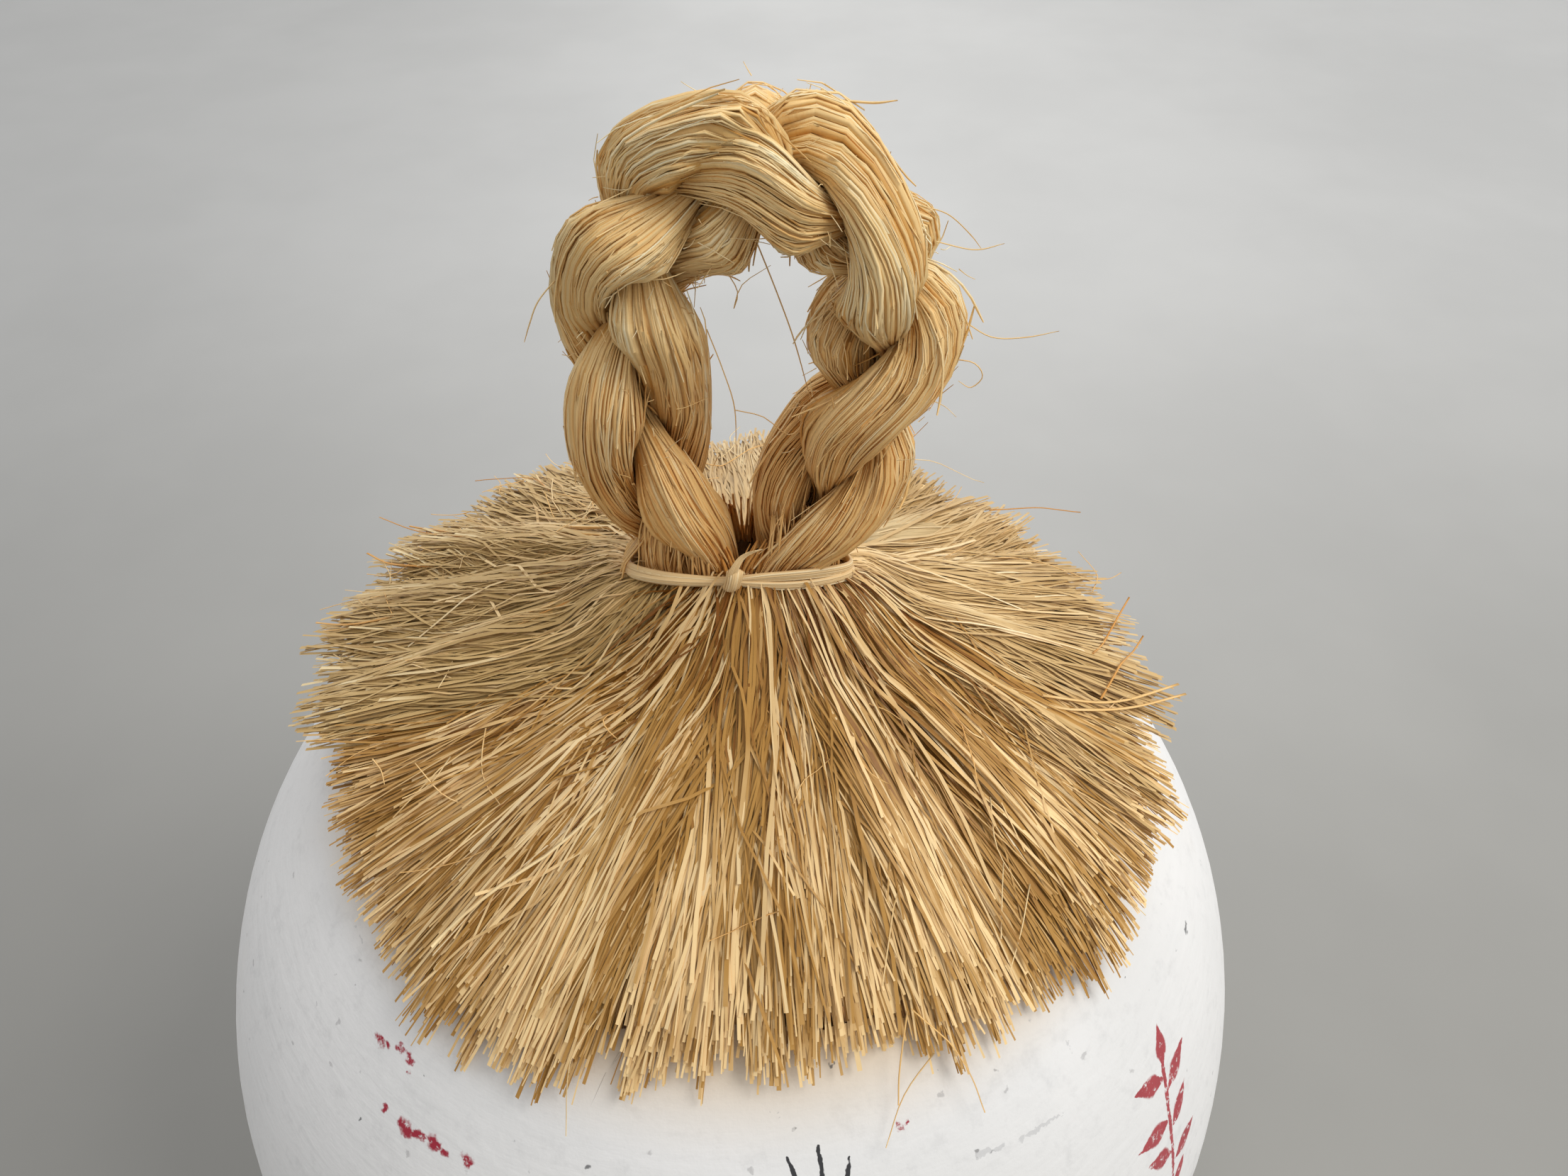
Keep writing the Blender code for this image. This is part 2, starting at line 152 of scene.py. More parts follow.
def mesh_of(thing):
    """The mesh that an object's modifiers make."""
    bpy.context.view_layer.update()
    shaped = thing.evaluated_get(bpy.context.evaluated_depsgraph_get())
    return bpy.data.meshes.new_from_object(shaped)


def solid_tree(node):
    """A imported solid, ready to be hit by rays."""
    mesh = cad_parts[node].data
    corners = [corner.co for corner in mesh.vertices]
    return BVHTree.FromPolygons(corners, [list(face.vertices) for face in mesh.polygons])


# Camera, floor and light


def build_camera():
    data = bpy.data.cameras.new("studio_camera")
    data.sensor_width = SENSOR_MM
    data.lens = SENSOR_MM * FOCAL_PIXELS / PHOTO_WIDTH
    data.clip_start = 0.001
    camera = add_object("studio_camera", data)
    offset = Vector((CAMERA_RIGHT, CAMERA_FORWARD, CAMERA_UP)) * BALL_RADIUS
    camera.location = BALL_CENTRE + offset
    camera.rotation_euler = (math.radians(90.0) - CAMERA_DOWN_TILT, 0.0, 0.0)
    bpy.context.scene.camera = camera


def area_light(name, place, target, size, power, colour):
    data = bpy.data.lights.new(name, "AREA")
    data.shape = "DISK"
    data.size = size
    data.energy = power
    data.color = colour
    light = add_object(name, data)
    light.location = place
    light.rotation_euler = (Vector(target) - Vector(place)).to_track_quat("-Z", "Y").to_euler()


def build_light():
    for settings in LIGHTS:
        area_light(*settings)
    world = bpy.data.worlds.new("studio_world")
    world.use_nodes = True
    background = world.node_tree.nodes["Background"]
    background.inputs["Color"].default_value = ROOM_COLOUR
    background.inputs["Strength"].default_value = ROOM_STRENGTH
    bpy.context.scene.world = world
    bpy.context.scene.view_settings.view_transform = "Standard"


def build_floor():
    shape = bmesh.new()
    bmesh.ops.create_grid(shape, x_segments=2, y_segments=2, size=FLOOR_HALF_WIDTH)
    mesh = bpy.data.meshes.new("studio_floor")
    shape.to_mesh(mesh)
    shape.free()
    floor = add_object("studio_floor", mesh)
    mesh.materials.append(floor_material())


# Shader groups and materials. Colours are linear red, green and blue.


class NodeKit:
    """Short calls that add and join the nodes of one node tree."""

    def __init__(self, tree):
        self.tree = tree

    def node(self, kind, **settings):
        made = self.tree.nodes.new(kind)
        for name, value in settings.items():
            setattr(made, name, value)
        return made

    def feed(self, socket, value):
        """Joins an output to a socket, or sets the socket's own value. A colour has no alpha."""
        if isinstance(value, bpy.types.NodeSocket):
            self.tree.links.new(value, socket)
        elif socket.type == "RGBA" and len(value) == 3:
            socket.default_value = (*value, 1.0)
        else:
            socket.default_value = value

    def place(self):
        """Where a point of the piece is, in the part's own frame."""
        return self.node("ShaderNodeTexCoord").outputs["Object"]

    def axes(self, place):
        split = self.node("ShaderNodeSeparateXYZ")
        self.feed(split.inputs[0], place)
        return split.outputs

    def point(self, x=0.0, y=0.0, z=0.0):
        joined = self.node("ShaderNodeCombineXYZ")
        for socket, value in zip(joined.inputs, (x, y, z)):
            self.feed(socket, value)
        return joined.outputs[0]

    def math(self, operation, first, second=0.0, clamp=False):
        made = self.node("ShaderNodeMath", operation=operation, use_clamp=clamp)
        self.feed(made.inputs[0], first)
        self.feed(made.inputs[1], second)
        return made.outputs[0]

    def times(self, first, second):
        return self.math("MULTIPLY", first, second)

    def plus(self, first, second):
        return self.math("ADD", first, second)

    def around(self, value, middle, amount):
        """How far a value is off its middle, times an amount."""
        return self.times(self.math("SUBTRACT", value, middle), amount)

    def vector(self, operation, first, second=(0.0, 0.0, 0.0)):
        made = self.node("ShaderNodeVectorMath", operation=operation)
        self.feed(made.inputs[0], first)
        self.feed(made.inputs[1], second)
        return made.outputs["Value" if operation in ("LENGTH", "DOT_PRODUCT") else "Vector"]

    def scaled(self, vector, scale):
        made = self.node("ShaderNodeVectorMath", operation="SCALE")
        self.feed(made.inputs[0], vector)
        self.feed(made.inputs["Scale"], scale)
        return made.outputs["Vector"]

    def from_neck(self, place):
        """The way in plan from the middle of the neck."""
        off_middle = self.vector("SUBTRACT", place, (HANDLE_OFFSET, 0.0, 0.0))
        return self.vector("MULTIPLY", off_middle, (1.0, 1.0, 0.0))

    def mix(self, share, first, second, blend="MIX"):
        made = self.node("ShaderNodeMix", data_type="RGBA", blend_type=blend)
        self.feed(made.inputs["Factor"], share)
        self.feed(made.inputs["A"], first)
        self.feed(made.inputs["B"], second)
        return made.outputs["Result"]

    def shaded(self, colour, shade):
        return self.mix(1.0, colour, shade, "MULTIPLY")

    def covered(self, colour, mask, cover, paint):
        """Paint over a colour where a mask is, with the cover that the paint has."""
        return self.mix(self.times(mask, cover), colour, paint)

    def window(self, value, low, high, start=0.0, end=1.0):
        """Maps a range of values to another, smoothly and held at its ends."""
        made = self.node("ShaderNodeMapRange", interpolation_type="SMOOTHSTEP")
        self.feed(made.inputs["Value"], value)
        self.feed(made.inputs["From Min"], low)
        self.feed(made.inputs["From Max"], high)
        self.feed(made.inputs["To Min"], start)
        self.feed(made.inputs["To Max"], end)
        return made.outputs["Result"]

    def noise(self, place, scale, detail=2.0, roughness=0.5):
        made = self.node("ShaderNodeTexNoise")
        self.feed(made.inputs["Vector"], place)
        self.feed(made.inputs["Scale"], scale)
        self.feed(made.inputs["Detail"], detail)
        self.feed(made.inputs["Roughness"], roughness)
        return made.outputs["Fac"]

    def clouds(self, place, scale, detail, roughness, low, high):
        """Noise in soft patches, 0 below low and 1 above high."""
        return self.window(self.noise(place, scale, detail, roughness), low, high)

    def attribute(self, name):
        return self.node("ShaderNodeAttribute", attribute_name=name).outputs["Fac"]

    def group(self, tree, **values):
        made = self.node("ShaderNodeGroup", node_tree=tree)
        for name, value in values.items():
            self.feed(made.inputs[name.replace("_", " ").title()], value)
        return made.outputs

    def bump(self, shader, height, strength, distance):
        made = self.node("ShaderNodeBump")
        made.inputs["Strength"].default_value = strength
        made.inputs["Distance"].default_value = distance
        self.feed(made.inputs["Height"], height)
        self.feed(shader["Normal"], made.outputs["Normal"])


def new_group(name, inputs, outputs):
    """A node group with its sockets, a kit for it and its two end nodes."""
    tree = bpy.data.node_groups.new(name, "ShaderNodeTree")
    for title, kind in inputs:
        tree.interface.new_socket(title, in_out="INPUT", socket_type=f"NodeSocket{kind}")
    for title, kind in outputs:
        tree.interface.new_socket(title, in_out="OUTPUT", socket_type=f"NodeSocket{kind}")
    kit = NodeKit(tree)
    return tree, kit, kit.node("NodeGroupInput").outputs, kit.node("NodeGroupOutput").inputs


def new_material(name, roughness):
    material = bpy.data.materials.new(name)
    material.use_nodes = True
    kit = NodeKit(material.node_tree)
    shader = material.node_tree.nodes["Principled BSDF"]
    shader.inputs["Roughness"].default_value = roughness
    return material, kit, shader.inputs


WHITE = (1.0, 1.0, 1.0)
GLOSS_TINT = (1.0, 0.86, 0.62)
# Floor colour in front of the bell and behind it: the darker front is painted shade, the lighter back painted
# light
FLOOR_NEAR_SHADED = (0.235, 0.23, 0.213)
FLOOR_FAR_LIT = (0.42, 0.42, 0.41)

# How a fibre's tone wanders: along it, and from place to place in the hemp
STREAK_AMOUNT = 0.35
PATCH_SCALE = 230.0
PATCH_AMOUNT = 0.55
# Painted light and shade along a fibre: past this share of its length it is painted lighter towards the thin
# tip, before it darker towards the root in the tie
TIP_STARTS = 0.55

# Painted shade: the deeper a fibre lies, the darker and browner it is painted; green and blue fall faster
# than red
GREEN_FALL = 1.25
BLUE_FALL = 1.9

# Painted shade on the loop's legs: they are painted darker than its top, from the first height above the tie
# to the second
LEGS_HEIGHT = 4.0 * MM
TOP_HEIGHT = 20.0 * MM
LEGS_PAINTED_SHADE = (0.96, 0.82, 0.66)


def hemp_tones_group():
    """Colour of one fibre from its own tone, how deep it lies and how far along it a point is: painted shade
    on deep fibres, at the roots and on the loop's legs, and painted light at the tips.
    """
    colours = (("Dark", "Color"), ("Middle", "Color"), ("Light", "Color"), ("Low", "Color"))
    tree, kit, given, wanted = new_group(
        "hemp_tones",
        (*colours, ("Shade", "Float"), ("Tip", "Float")),
        (("Color", "Color"), ("Height", "Float")),
    )
    tone = kit.attribute("tone")
    along = kit.attribute("along")
    level = kit.attribute("level")
    place = kit.place()
    streak = kit.noise(kit.point(kit.times(tone, 91.0), kit.times(along, 5.0)), 1.0, 3.0, 0.6)
    patch = kit.noise(place, PATCH_SCALE, 2.0, 0.5)
    value = kit.plus(tone, kit.around(streak, 0.5, STREAK_AMOUNT))
    # Painted light towards the tips and painted shade towards the roots
    value = kit.plus(value, kit.around(along, TIP_STARTS, given["Tip"]))
    value = kit.plus(value, kit.around(patch, 0.5, PATCH_AMOUNT))
    darker = kit.mix(kit.window(value, 0.0, 0.55), given["Dark"], given["Middle"])
    colour = kit.mix(kit.window(value, 0.55, 1.0), darker, given["Light"])
    # Painted shade: fibres that lie deep in the hemp are painted darker and browner
    shade = kit.window(level, 0.0, 1.0, given["Shade"], 1.0)
    painted_deep_shade = kit.node("ShaderNodeCombineColor")
    kit.feed(painted_deep_shade.inputs["Red"], shade)
    kit.feed(painted_deep_shade.inputs["Green"], kit.math("POWER", shade, GREEN_FALL))
    kit.feed(painted_deep_shade.inputs["Blue"], kit.math("POWER", shade, BLUE_FALL))
    colour = kit.shaded(colour, painted_deep_shade.outputs["Color"])
    # Painted shade: the loop's legs are painted darker than its top
    rise = kit.window(kit.axes(place)[2], TIE_LOW + LEGS_HEIGHT, TIE_LOW + TOP_HEIGHT)
    kit.feed(wanted["Color"], kit.shaded(colour, kit.mix(rise, given["Low"], WHITE)))
    kit.feed(wanted["Height"], kit.noise(place, 3500.0, 2.0, 0.6))
    return tree


def brush_stroke_group():
    """A tapered stroke of paint from one point to another, with a rough edge."""
    tree, kit, given, wanted = new_group(
        "brush_stroke",
        (("Place", "Vector"), ("Start", "Vector"), ("End", "Vector"), ("Width", "Float"), ("Tip", "Float")),
        (("Mask", "Float"),),
    )
    course = kit.vector("SUBTRACT", given["End"], given["Start"])
    reach = kit.vector("SUBTRACT", given["Place"], given["Start"])
    length = kit.vector("DOT_PRODUCT", course, course)
    share = kit.math("DIVIDE", kit.vector("DOT_PRODUCT", reach, course), length, clamp=True)
    away = kit.vector("LENGTH", kit.vector("SUBTRACT", reach, kit.scaled(course, share)))
    width = kit.window(share, 0.0, 1.0, given["Width"], given["Tip"])
    kit.feed(wanted["Mask"], kit.window(kit.math("DIVIDE", away, width), 0.72, 1.0, 1.0, 0.0))
    return tree


def combed_streaks_group():
    """Streaks that run outwards from the neck, fine and coarse, between 0 and 1."""
    tree, kit, given, wanted = new_group(
        "combed_streaks", (("Fineness", "Float"),), (("Streak", "Float"), ("Height", "Float")),
    )
    plan = kit.from_neck(kit.place())
    ring = kit.scaled(kit.vector("NORMALIZE", plan), given["Fineness"])
    rise = kit.point(z=kit.times(kit.vector("LENGTH", plan), 110.0))
    spot = kit.vector("ADD", ring, rise)
    kit.feed(wanted["Streak"], kit.clouds(spot, 1.0, 5.0, 0.65, 0.30, 0.70))
    kit.feed(wanted["Height"], kit.noise(spot, 2.2, 3.0, 0.6))
    return tree


# The combed mass: darkest and lightest colour in front, then behind, and the painted shade inside the tie
FRONT_GOLD = ((0.235, 0.092, 0.016), (0.66, 0.385, 0.135))
BACK_PALE = ((0.40, 0.26, 0.095), (0.74, 0.55, 0.28))
IN_TIE_SHADE = (0.24, 0.105, 0.032)


def combed_material(groups, name):
    """Hemp seen as one combed mass, under and between the single fibres, with painted shade near the neck and
    in the tie and painted light towards the rim.
    """
    material, kit, shader = new_material(name, 0.5)
    made = kit.group(groups["combed_streaks"], fineness=38.0)
    place = kit.place()
    x, y, z = kit.axes(place)
    reach = kit.vector("LENGTH", kit.from_neck(place))
    gold = kit.mix(made["Streak"], *FRONT_GOLD)
    pale = kit.mix(made["Streak"], *BACK_PALE)
    backward = kit.plus(y, kit.times(kit.math("ABSOLUTE", x), 0.3))
    colour = kit.mix(kit.window(backward, -2.5 * MM, 2.0 * MM), gold, pale)
    # Painted shade near the neck, painted light towards the rim, and painted shade inside the tie
    colour = kit.shaded(colour, kit.window(reach, 5.0 * MM, 12.0 * MM, 0.45, 1.0))
    colour = kit.shaded(colour, kit.window(reach, 16.0 * MM, 25.0 * MM, 1.0, 1.35))
    colour = kit.mix(kit.window(z, TIE_LOW - 0.8 * MM, TIE_LOW + 0.2 * MM), colour, IN_TIE_SHADE)
    kit.feed(shader["Base Color"], colour)
    kit.bump(shader, made["Height"], 0.8, 0.2 * MM)
    return material


def hemp_material(groups, name, dark, middle, light, shade, tip, low):
    """Single fibres in one finish, with a warm gloss."""
    material, kit, shader = new_material(name, 0.38)
    made = kit.group(
        groups["hemp_tones"], dark=dark, middle=middle, light=light, low=low, shade=shade, tip=tip)
    kit.feed(shader["Base Color"], made["Color"])
    kit.bump(shader, made["Height"], 0.25, 0.04 * MM)
    shader["Specular IOR Level"].default_value = 0.34
    kit.feed(shader["Specular Tint"], GLOSS_TINT)
    return material


def floor_material():
    """A grey floor with painted light: darker in front as painted shade, lighter behind the bell, in the
    middle and to its right, with soft clouds.
    """
    material, kit, shader = new_material("studio_floor", 0.6)
    place = kit.place()
    x, y, _ = kit.axes(place)
    colour = kit.mix(kit.window(y, -0.03, 0.20), FLOOR_NEAR_SHADED, FLOOR_FAR_LIT)
    # Painted light: lighter in the middle and to the right
    middle = kit.window(kit.math("ABSOLUTE", x), 0.0, 0.15, 1.17, 0.97)
    lit_to_right = kit.window(x, -0.12, 0.12, 0.94, 1.08)
    cloud = kit.window(kit.noise(place, 14.0, 4.0, 0.6), 0.3, 0.7, 0.96, 1.04)
    painted_light_and_clouds = kit.times(kit.times(middle, lit_to_right), cloud)
    kit.feed(shader["Base Color"], kit.shaded(colour, painted_light_and_clouds))
    return material


def on_ball(motif, right, up):
    """A point on the ball, some way right and up from the middle of a painted motif."""
    outward = Vector(motif).normalized()
    across = Vector((0.0, 0.0, 1.0)).cross(outward).normalized()
    upward = outward.cross(across)
    point = outward * BALL_RADIUS + across * right + upward * up
    return BALL_CENTRE + point.normalized() * BALL_RADIUS


# Painted motifs: a red leafy sprig and a black tuft of pine needles, each as strokes
# (right, up, right, up, width, tip) from the motif's middle, in millimetres
SPRIG_MIDDLE = (26.1, -19.8, 14.8)
TUFT_MIDDLE = (6.2, -30.0, 19.0)
SPRIG_STEM = ((-1.6, -7.4), (-0.9, -4.6), (-0.5, -1.8), (0.0, 0.9), (0.7, 3.4))
# Each leaf: (right, up, slope in degrees, length, half width)
SPRIG_LEAVES = (
    (0.7, 3.2, 70.0, 2.8, 0.68), (0.5, 2.6, 150.0, 3.5, 0.72), (0.3, 1.6, 20.0, 3.5, 0.74),
    (-0.2, -0.2, 165.0, 3.6, 0.78), (-0.3, -1.2, 32.0, 3.2, 0.70), (-0.6, -2.8, 145.0, 3.3, 0.72),
    (-0.7, -3.8, 8.0, 3.4, 0.74), (-1.1, -5.6, 170.0, 3.2, 0.66), (-1.3, -6.4, 40.0, 2.9, 0.60),
)
STEM_WIDTH = 0.26
LEAF_FULLEST = 0.42
NEEDLE_COUNT = 11
NEEDLE_START = 28.0
NEEDLE_SPREAD = 124.0
NEEDLE_LENGTH = 7.6
NEEDLE_WIDTH = 0.36
TIP_WIDTH = 0.12


def sprig_strokes():
    """The stem, and each leaf as two strokes from its fullest place to its ends."""
    strokes = []
    for low, high in zip(SPRIG_STEM, SPRIG_STEM[1:]):
        strokes.append((*low, *high, STEM_WIDTH, STEM_WIDTH * 0.9))
    for right, up, slope, length, half in SPRIG_LEAVES:
        course = (math.cos(math.radians(slope)), math.sin(math.radians(slope)))
        full = (right + course[0] * length * LEAF_FULLEST, up + course[1] * length * LEAF_FULLEST)
        tip = (right + course[0] * length, up + course[1] * length)
        strokes.append((*full, *tip, half, TIP_WIDTH))
        strokes.append((*full, right, up, half, TIP_WIDTH))
    return strokes


def tuft_strokes():
    """The needles, spread like a fan, and the short twig that they stand on."""
    strokes = []
    for number in range(NEEDLE_COUNT):
        heading = math.radians(NEEDLE_START + NEEDLE_SPREAD * number / (NEEDLE_COUNT - 1))
        length = NEEDLE_LENGTH * (0.86 + 0.14 * math.sin(5.3 * number + 0.6))
        start = (0.5 * math.cos(heading), 0.5 * math.sin(heading))
        end = (length * math.cos(heading), length * math.sin(heading))
        strokes.append((*start, *end, NEEDLE_WIDTH, TIP_WIDTH))
    strokes.append((0.0, 0.6, -0.6, -3.4, NEEDLE_WIDTH * 1.2, NEEDLE_WIDTH))
    return strokes


# Worn red flecks, most of them left of the front, and dark ones spread over the front, each as
# (x, y, z, radius) in millimetres from the ball's middle
RED_FLECKS = (
    (-17.8, -19.8, 24.2, 0.34), (-17.6, -20.0, 24.2, 0.32), (-17.2, -20.2, 24.3, 0.28),
    (-16.5, -20.5, 24.6, 0.30), (-16.2, -20.7, 24.6, 0.28), (-15.9, -21.0, 24.6, 0.34),
    (-15.7, -21.3, 24.5, 0.30), (-15.8, -21.6, 24.2, 0.20), (-17.3, -22.5, 22.1, 0.26),
    (-17.2, -22.9, 21.8, 0.18), (-16.1, -23.5, 22.1, 0.50), (-15.9, -23.8, 22.0, 0.40),
    (-15.5, -23.9, 22.1, 0.32), (-15.2, -24.0, 22.2, 0.34), (-14.9, -24.1, 22.2, 0.28),
    (-14.4, -24.4, 22.3, 0.44), (-14.1, -24.6, 22.3, 0.36), (-13.7, -24.9, 22.2, 0.28),
    (-12.4, -25.3, 22.4, 0.40), (-12.2, -25.4, 22.5, 0.30), (9.4, -24.5, 24.7, 0.26),
    (9.7, -24.4, 24.7, 0.18),
)
DARK_FLECKS = (
    (28.1, -10.8, 19.8, 0.30), (28.2, -10.5, 19.9, 0.2), (5.9, -22.6, 27.3, 0.14),
    (-9.8, -24.9, 24.0, 0.16), (-6.0, -26.2, 23.9, 0.17), (26.9, -12.5, 20.3, 0.14),
    (14.2, -24.7, 22.0, 0.16), (-14.9, -21.9, 24.4, 0.12), (-7.6, -27.2, 22.3, 0.16),
    (1.8, -26.9, 23.8, 0.13), (22.6, -15.8, 23.2, 0.13), (-18.9, -22.6, 20.7, 0.15),
)

# Marks in the paint, each (x, y, z) to (x, y, z) in millimetres from the ball's middle, and a half width
GREY_MARKS = (
    ((-19.9, -14.4, 26.3), (-19.3, -15.3, 26.2), 0.16),
    ((-5.6, -26.6, 23.6), (-5.5, -27.3, 22.8), 0.10),
    ((13.4, -25.0, 22.2), (14.9, -24.4, 21.9), 0.20),
    ((15.8, -23.9, 21.6), (18.3, -22.5, 21.4), 0.16),
    ((2.9, -24.3, 26.4), (3.4, -24.6, 26.1), 0.14),
    ((-9.0, -26.0, 23.2), (-8.8, -26.5, 22.7), 0.12),
    ((-12.6, -20.7, 26.6), (-12.2, -21.0, 26.5), 0.10),
    ((18.6, -19.6, 23.8), (18.9, -20.1, 23.2), 0.09),
    ((-22.4, -16.5, 22.7), (-22.2, -17.0, 22.5), 0.13),
    ((10.8, -21.9, 26.4), (11.3, -22.3, 25.9), 0.08),
)
RAISED_HAIRS = (
    ((-3.9, -21.8, 28.4), (-5.1, -23.0, 27.2), 0.10),
    ((-5.1, -23.0, 27.2), (-6.1, -24.5, 25.6), 0.09),
    ((-5.0, -22.6, 27.6), (-5.7, -24.1, 26.1), 0.06),
)


def mark_masks(kit, group, place, marks):
    """Where the marks are, each a short stroke that ends thinner."""
    mask = 0.0
    for start, end, width in marks:
        first, last = [BALL_CENTRE + Vector(point).normalized() * BALL_RADIUS for point in (start, end)]
        made = kit.group(
            group, place=place, start=first, end=last, width=width * MM, tip=width * 0.7 * MM)
        mask = kit.math("MAXIMUM", mask, made["Mask"])
    return mask


def stroke_masks(kit, group, place, motif, strokes):
    """Where the strokes of a painted motif are."""
    mask = 0.0
    for right, up, right_end, up_end, width, tip in strokes:
        first = on_ball(motif, right * MM, up * MM)
        last = on_ball(motif, right_end * MM, up_end * MM)
        made = kit.group(group, place=place, start=first, end=last, width=width * MM, tip=tip * MM)
        mask = kit.math("MAXIMUM", mask, made["Mask"])
    return mask


def fleck_masks(kit, place, flecks):
    """Where the flecks are, each round with a soft edge."""
    mask = 0.0
    for x, y, z, radius in flecks:
        middle = BALL_CENTRE + Vector((x, y, z)).normalized() * BALL_RADIUS
        away = kit.vector("LENGTH", kit.vector("SUBTRACT", place, middle))
        spot = kit.window(away, radius * MM * 0.6, radius * MM * 1.15, 1.0, 0.0)
        mask = kit.math("MAXIMUM", mask, spot)
    return mask


def scattered_specks(kit, place, scale, size, share):
    """Tiny round specks in some cells of a scattered pattern."""
    cells = kit.node("ShaderNodeTexVoronoi", feature="F1")
    kit.feed(cells.inputs["Vector"], place)
    cells.inputs["Scale"].default_value = scale
    spot = kit.window(cells.outputs["Distance"], size * 0.5, size, 1.0, 0.0)
    split = kit.node("ShaderNodeSeparateColor")
    kit.feed(split.inputs[0], cells.outputs["Color"])
    chosen = kit.math("LESS_THAN", split.outputs[0], share)
    return kit.times(spot, chosen)


# Paint: plain colours, then what lies over them as (scale, detail, roughness, low, high) of its
# patches, how much it covers and its colour
PAINT_DULL = (0.78, 0.775, 0.76)
PAINT_BRIGHT = (0.85, 0.84, 0.825)
PAINT_PATCHES = (
    ((620.0, 4.0, 0.7, 0.50, 0.74), 0.30, (0.58, 0.575, 0.57)),
    ((170.0, 5.0, 0.7, 0.60, 0.76), 0.38, (0.56, 0.56, 0.56)),
    ((45.0, 3.0, 0.6, 0.55, 0.75), 0.35, (0.80, 0.73, 0.63)),
)
# Painted light: a warm glow on the paint just under the skirt, for light that comes through the hemp
PAINTED_HEMP_GLOW = (0.72, 0.55, 0.34)
GREY = (0.25, 0.24, 0.24)
SPECK = (0.13, 0.12, 0.12)
MARK = (0.30, 0.30, 0.31)
RED_INK = ((0.30, 0.007, 0.018), (0.48, 0.028, 0.040))
BLACK_INK = (0.010, 0.010, 0.014)
WORN_RED = (0.36, 0.014, 0.035)
DARK_FLECK = (0.06, 0.06, 0.065)

# How far a painted edge and a speck's edge wander
EDGE_WANDER = 0.22 * MM
SPECK_WANDER = 0.6 * MM


def plain_paint(kit, place):
    """White paint with its clouds and smudges, and painted warm light that comes off the hemp above it."""
    colour = kit.mix(kit.clouds(place, 70.0, 4.0, 0.55, 0.25, 0.75), PAINT_DULL, PAINT_BRIGHT)
    for patches, cover, paint in PAINT_PATCHES:
        colour = kit.covered(colour, kit.clouds(place, *patches), cover, paint)
    reach = kit.vector("LENGTH", kit.from_neck(place))
    return kit.mix(kit.window(reach, 21.5 * MM, 26.6 * MM, 0.85, 0.0), colour, PAINTED_HEMP_GLOW)


def paint_height(kit, group, place, specks):
    """Brush marks, grain, pits at the specks and a few hairs caught in the paint."""
    stretched = kit.node("ShaderNodeMapping")
    kit.feed(stretched.inputs["Vector"], place)
    stretched.inputs["Scale"].default_value = (1.0, 1.0, 7.0)
    strokes = kit.noise(stretched.outputs[0], 240.0, 3.0, 0.55)
    grain = kit.noise(place, 1500.0, 3.0, 0.6)
    height = kit.plus(kit.times(strokes, 0.6), kit.times(grain, 0.4))
    height = kit.math("SUBTRACT", height, kit.times(specks, 0.2))
    return kit.plus(height, kit.times(mark_masks(kit, group, place, RAISED_HAIRS), 0.9))


def paint_material(groups):
    """Chalky white paint over fired clay, with painted motifs, flecks, smudges and brush marks."""
    material, kit, shader = new_material("white_paint_on_clay", 0.88)
    stroke = groups["brush_stroke"]
    place = kit.place()
    rough = kit.node("ShaderNodeTexNoise")
    kit.feed(rough.inputs["Vector"], place)
    rough.inputs["Scale"].default_value = 2600.0
    rough.inputs["Detail"].default_value = 2.0
    wander = kit.vector("SUBTRACT", rough.outputs["Color"], (0.5, 0.5, 0.5))
    brushed = kit.vector("ADD", place, kit.vector("MULTIPLY", wander, (EDGE_WANDER,) * 3))
    broken = kit.vector("ADD", place, kit.vector("MULTIPLY", wander, (SPECK_WANDER,) * 3))
    colour = plain_paint(kit, place)
    colour = kit.covered(colour, scattered_specks(kit, broken, 620.0, 0.13, 0.30), 0.40, GREY)
    specks = scattered_specks(kit, broken, 300.0, 0.065, 0.40)
    colour = kit.covered(colour, specks, 0.65, SPECK)
    colour = kit.covered(colour, mark_masks(kit, stroke, broken, GREY_MARKS), 0.30, MARK)
    sprig = stroke_masks(kit, stroke, brushed, SPRIG_MIDDLE, sprig_strokes())
    sprig = kit.times(sprig, kit.clouds(place, 1900.0, 3.0, 0.7, 0.30, 0.46))
    colour = kit.covered(colour, sprig, 0.95, kit.mix(kit.noise(place, 700.0), *RED_INK))
    tuft = stroke_masks(kit, stroke, brushed, TUFT_MIDDLE, tuft_strokes())
    colour = kit.covered(colour, tuft, 0.96, BLACK_INK)
    wear = kit.clouds(place, 1700.0, 3.0, 0.7, 0.32, 0.46)
    colour = kit.covered(colour, fleck_masks(kit, broken, RED_FLECKS), wear, WORN_RED)
    colour = kit.covered(colour, fleck_masks(kit, broken, DARK_FLECKS), 0.8, DARK_FLECK)
    kit.feed(shader["Base Color"], colour)
    kit.bump(shader, paint_height(kit, stroke, place, specks), 0.5, 0.14 * MM)
    shader["Specular IOR Level"].default_value = 0.30
    shader["Sheen Weight"].default_value = 0.09
    shader["Sheen Roughness"].default_value = 0.6
    return material


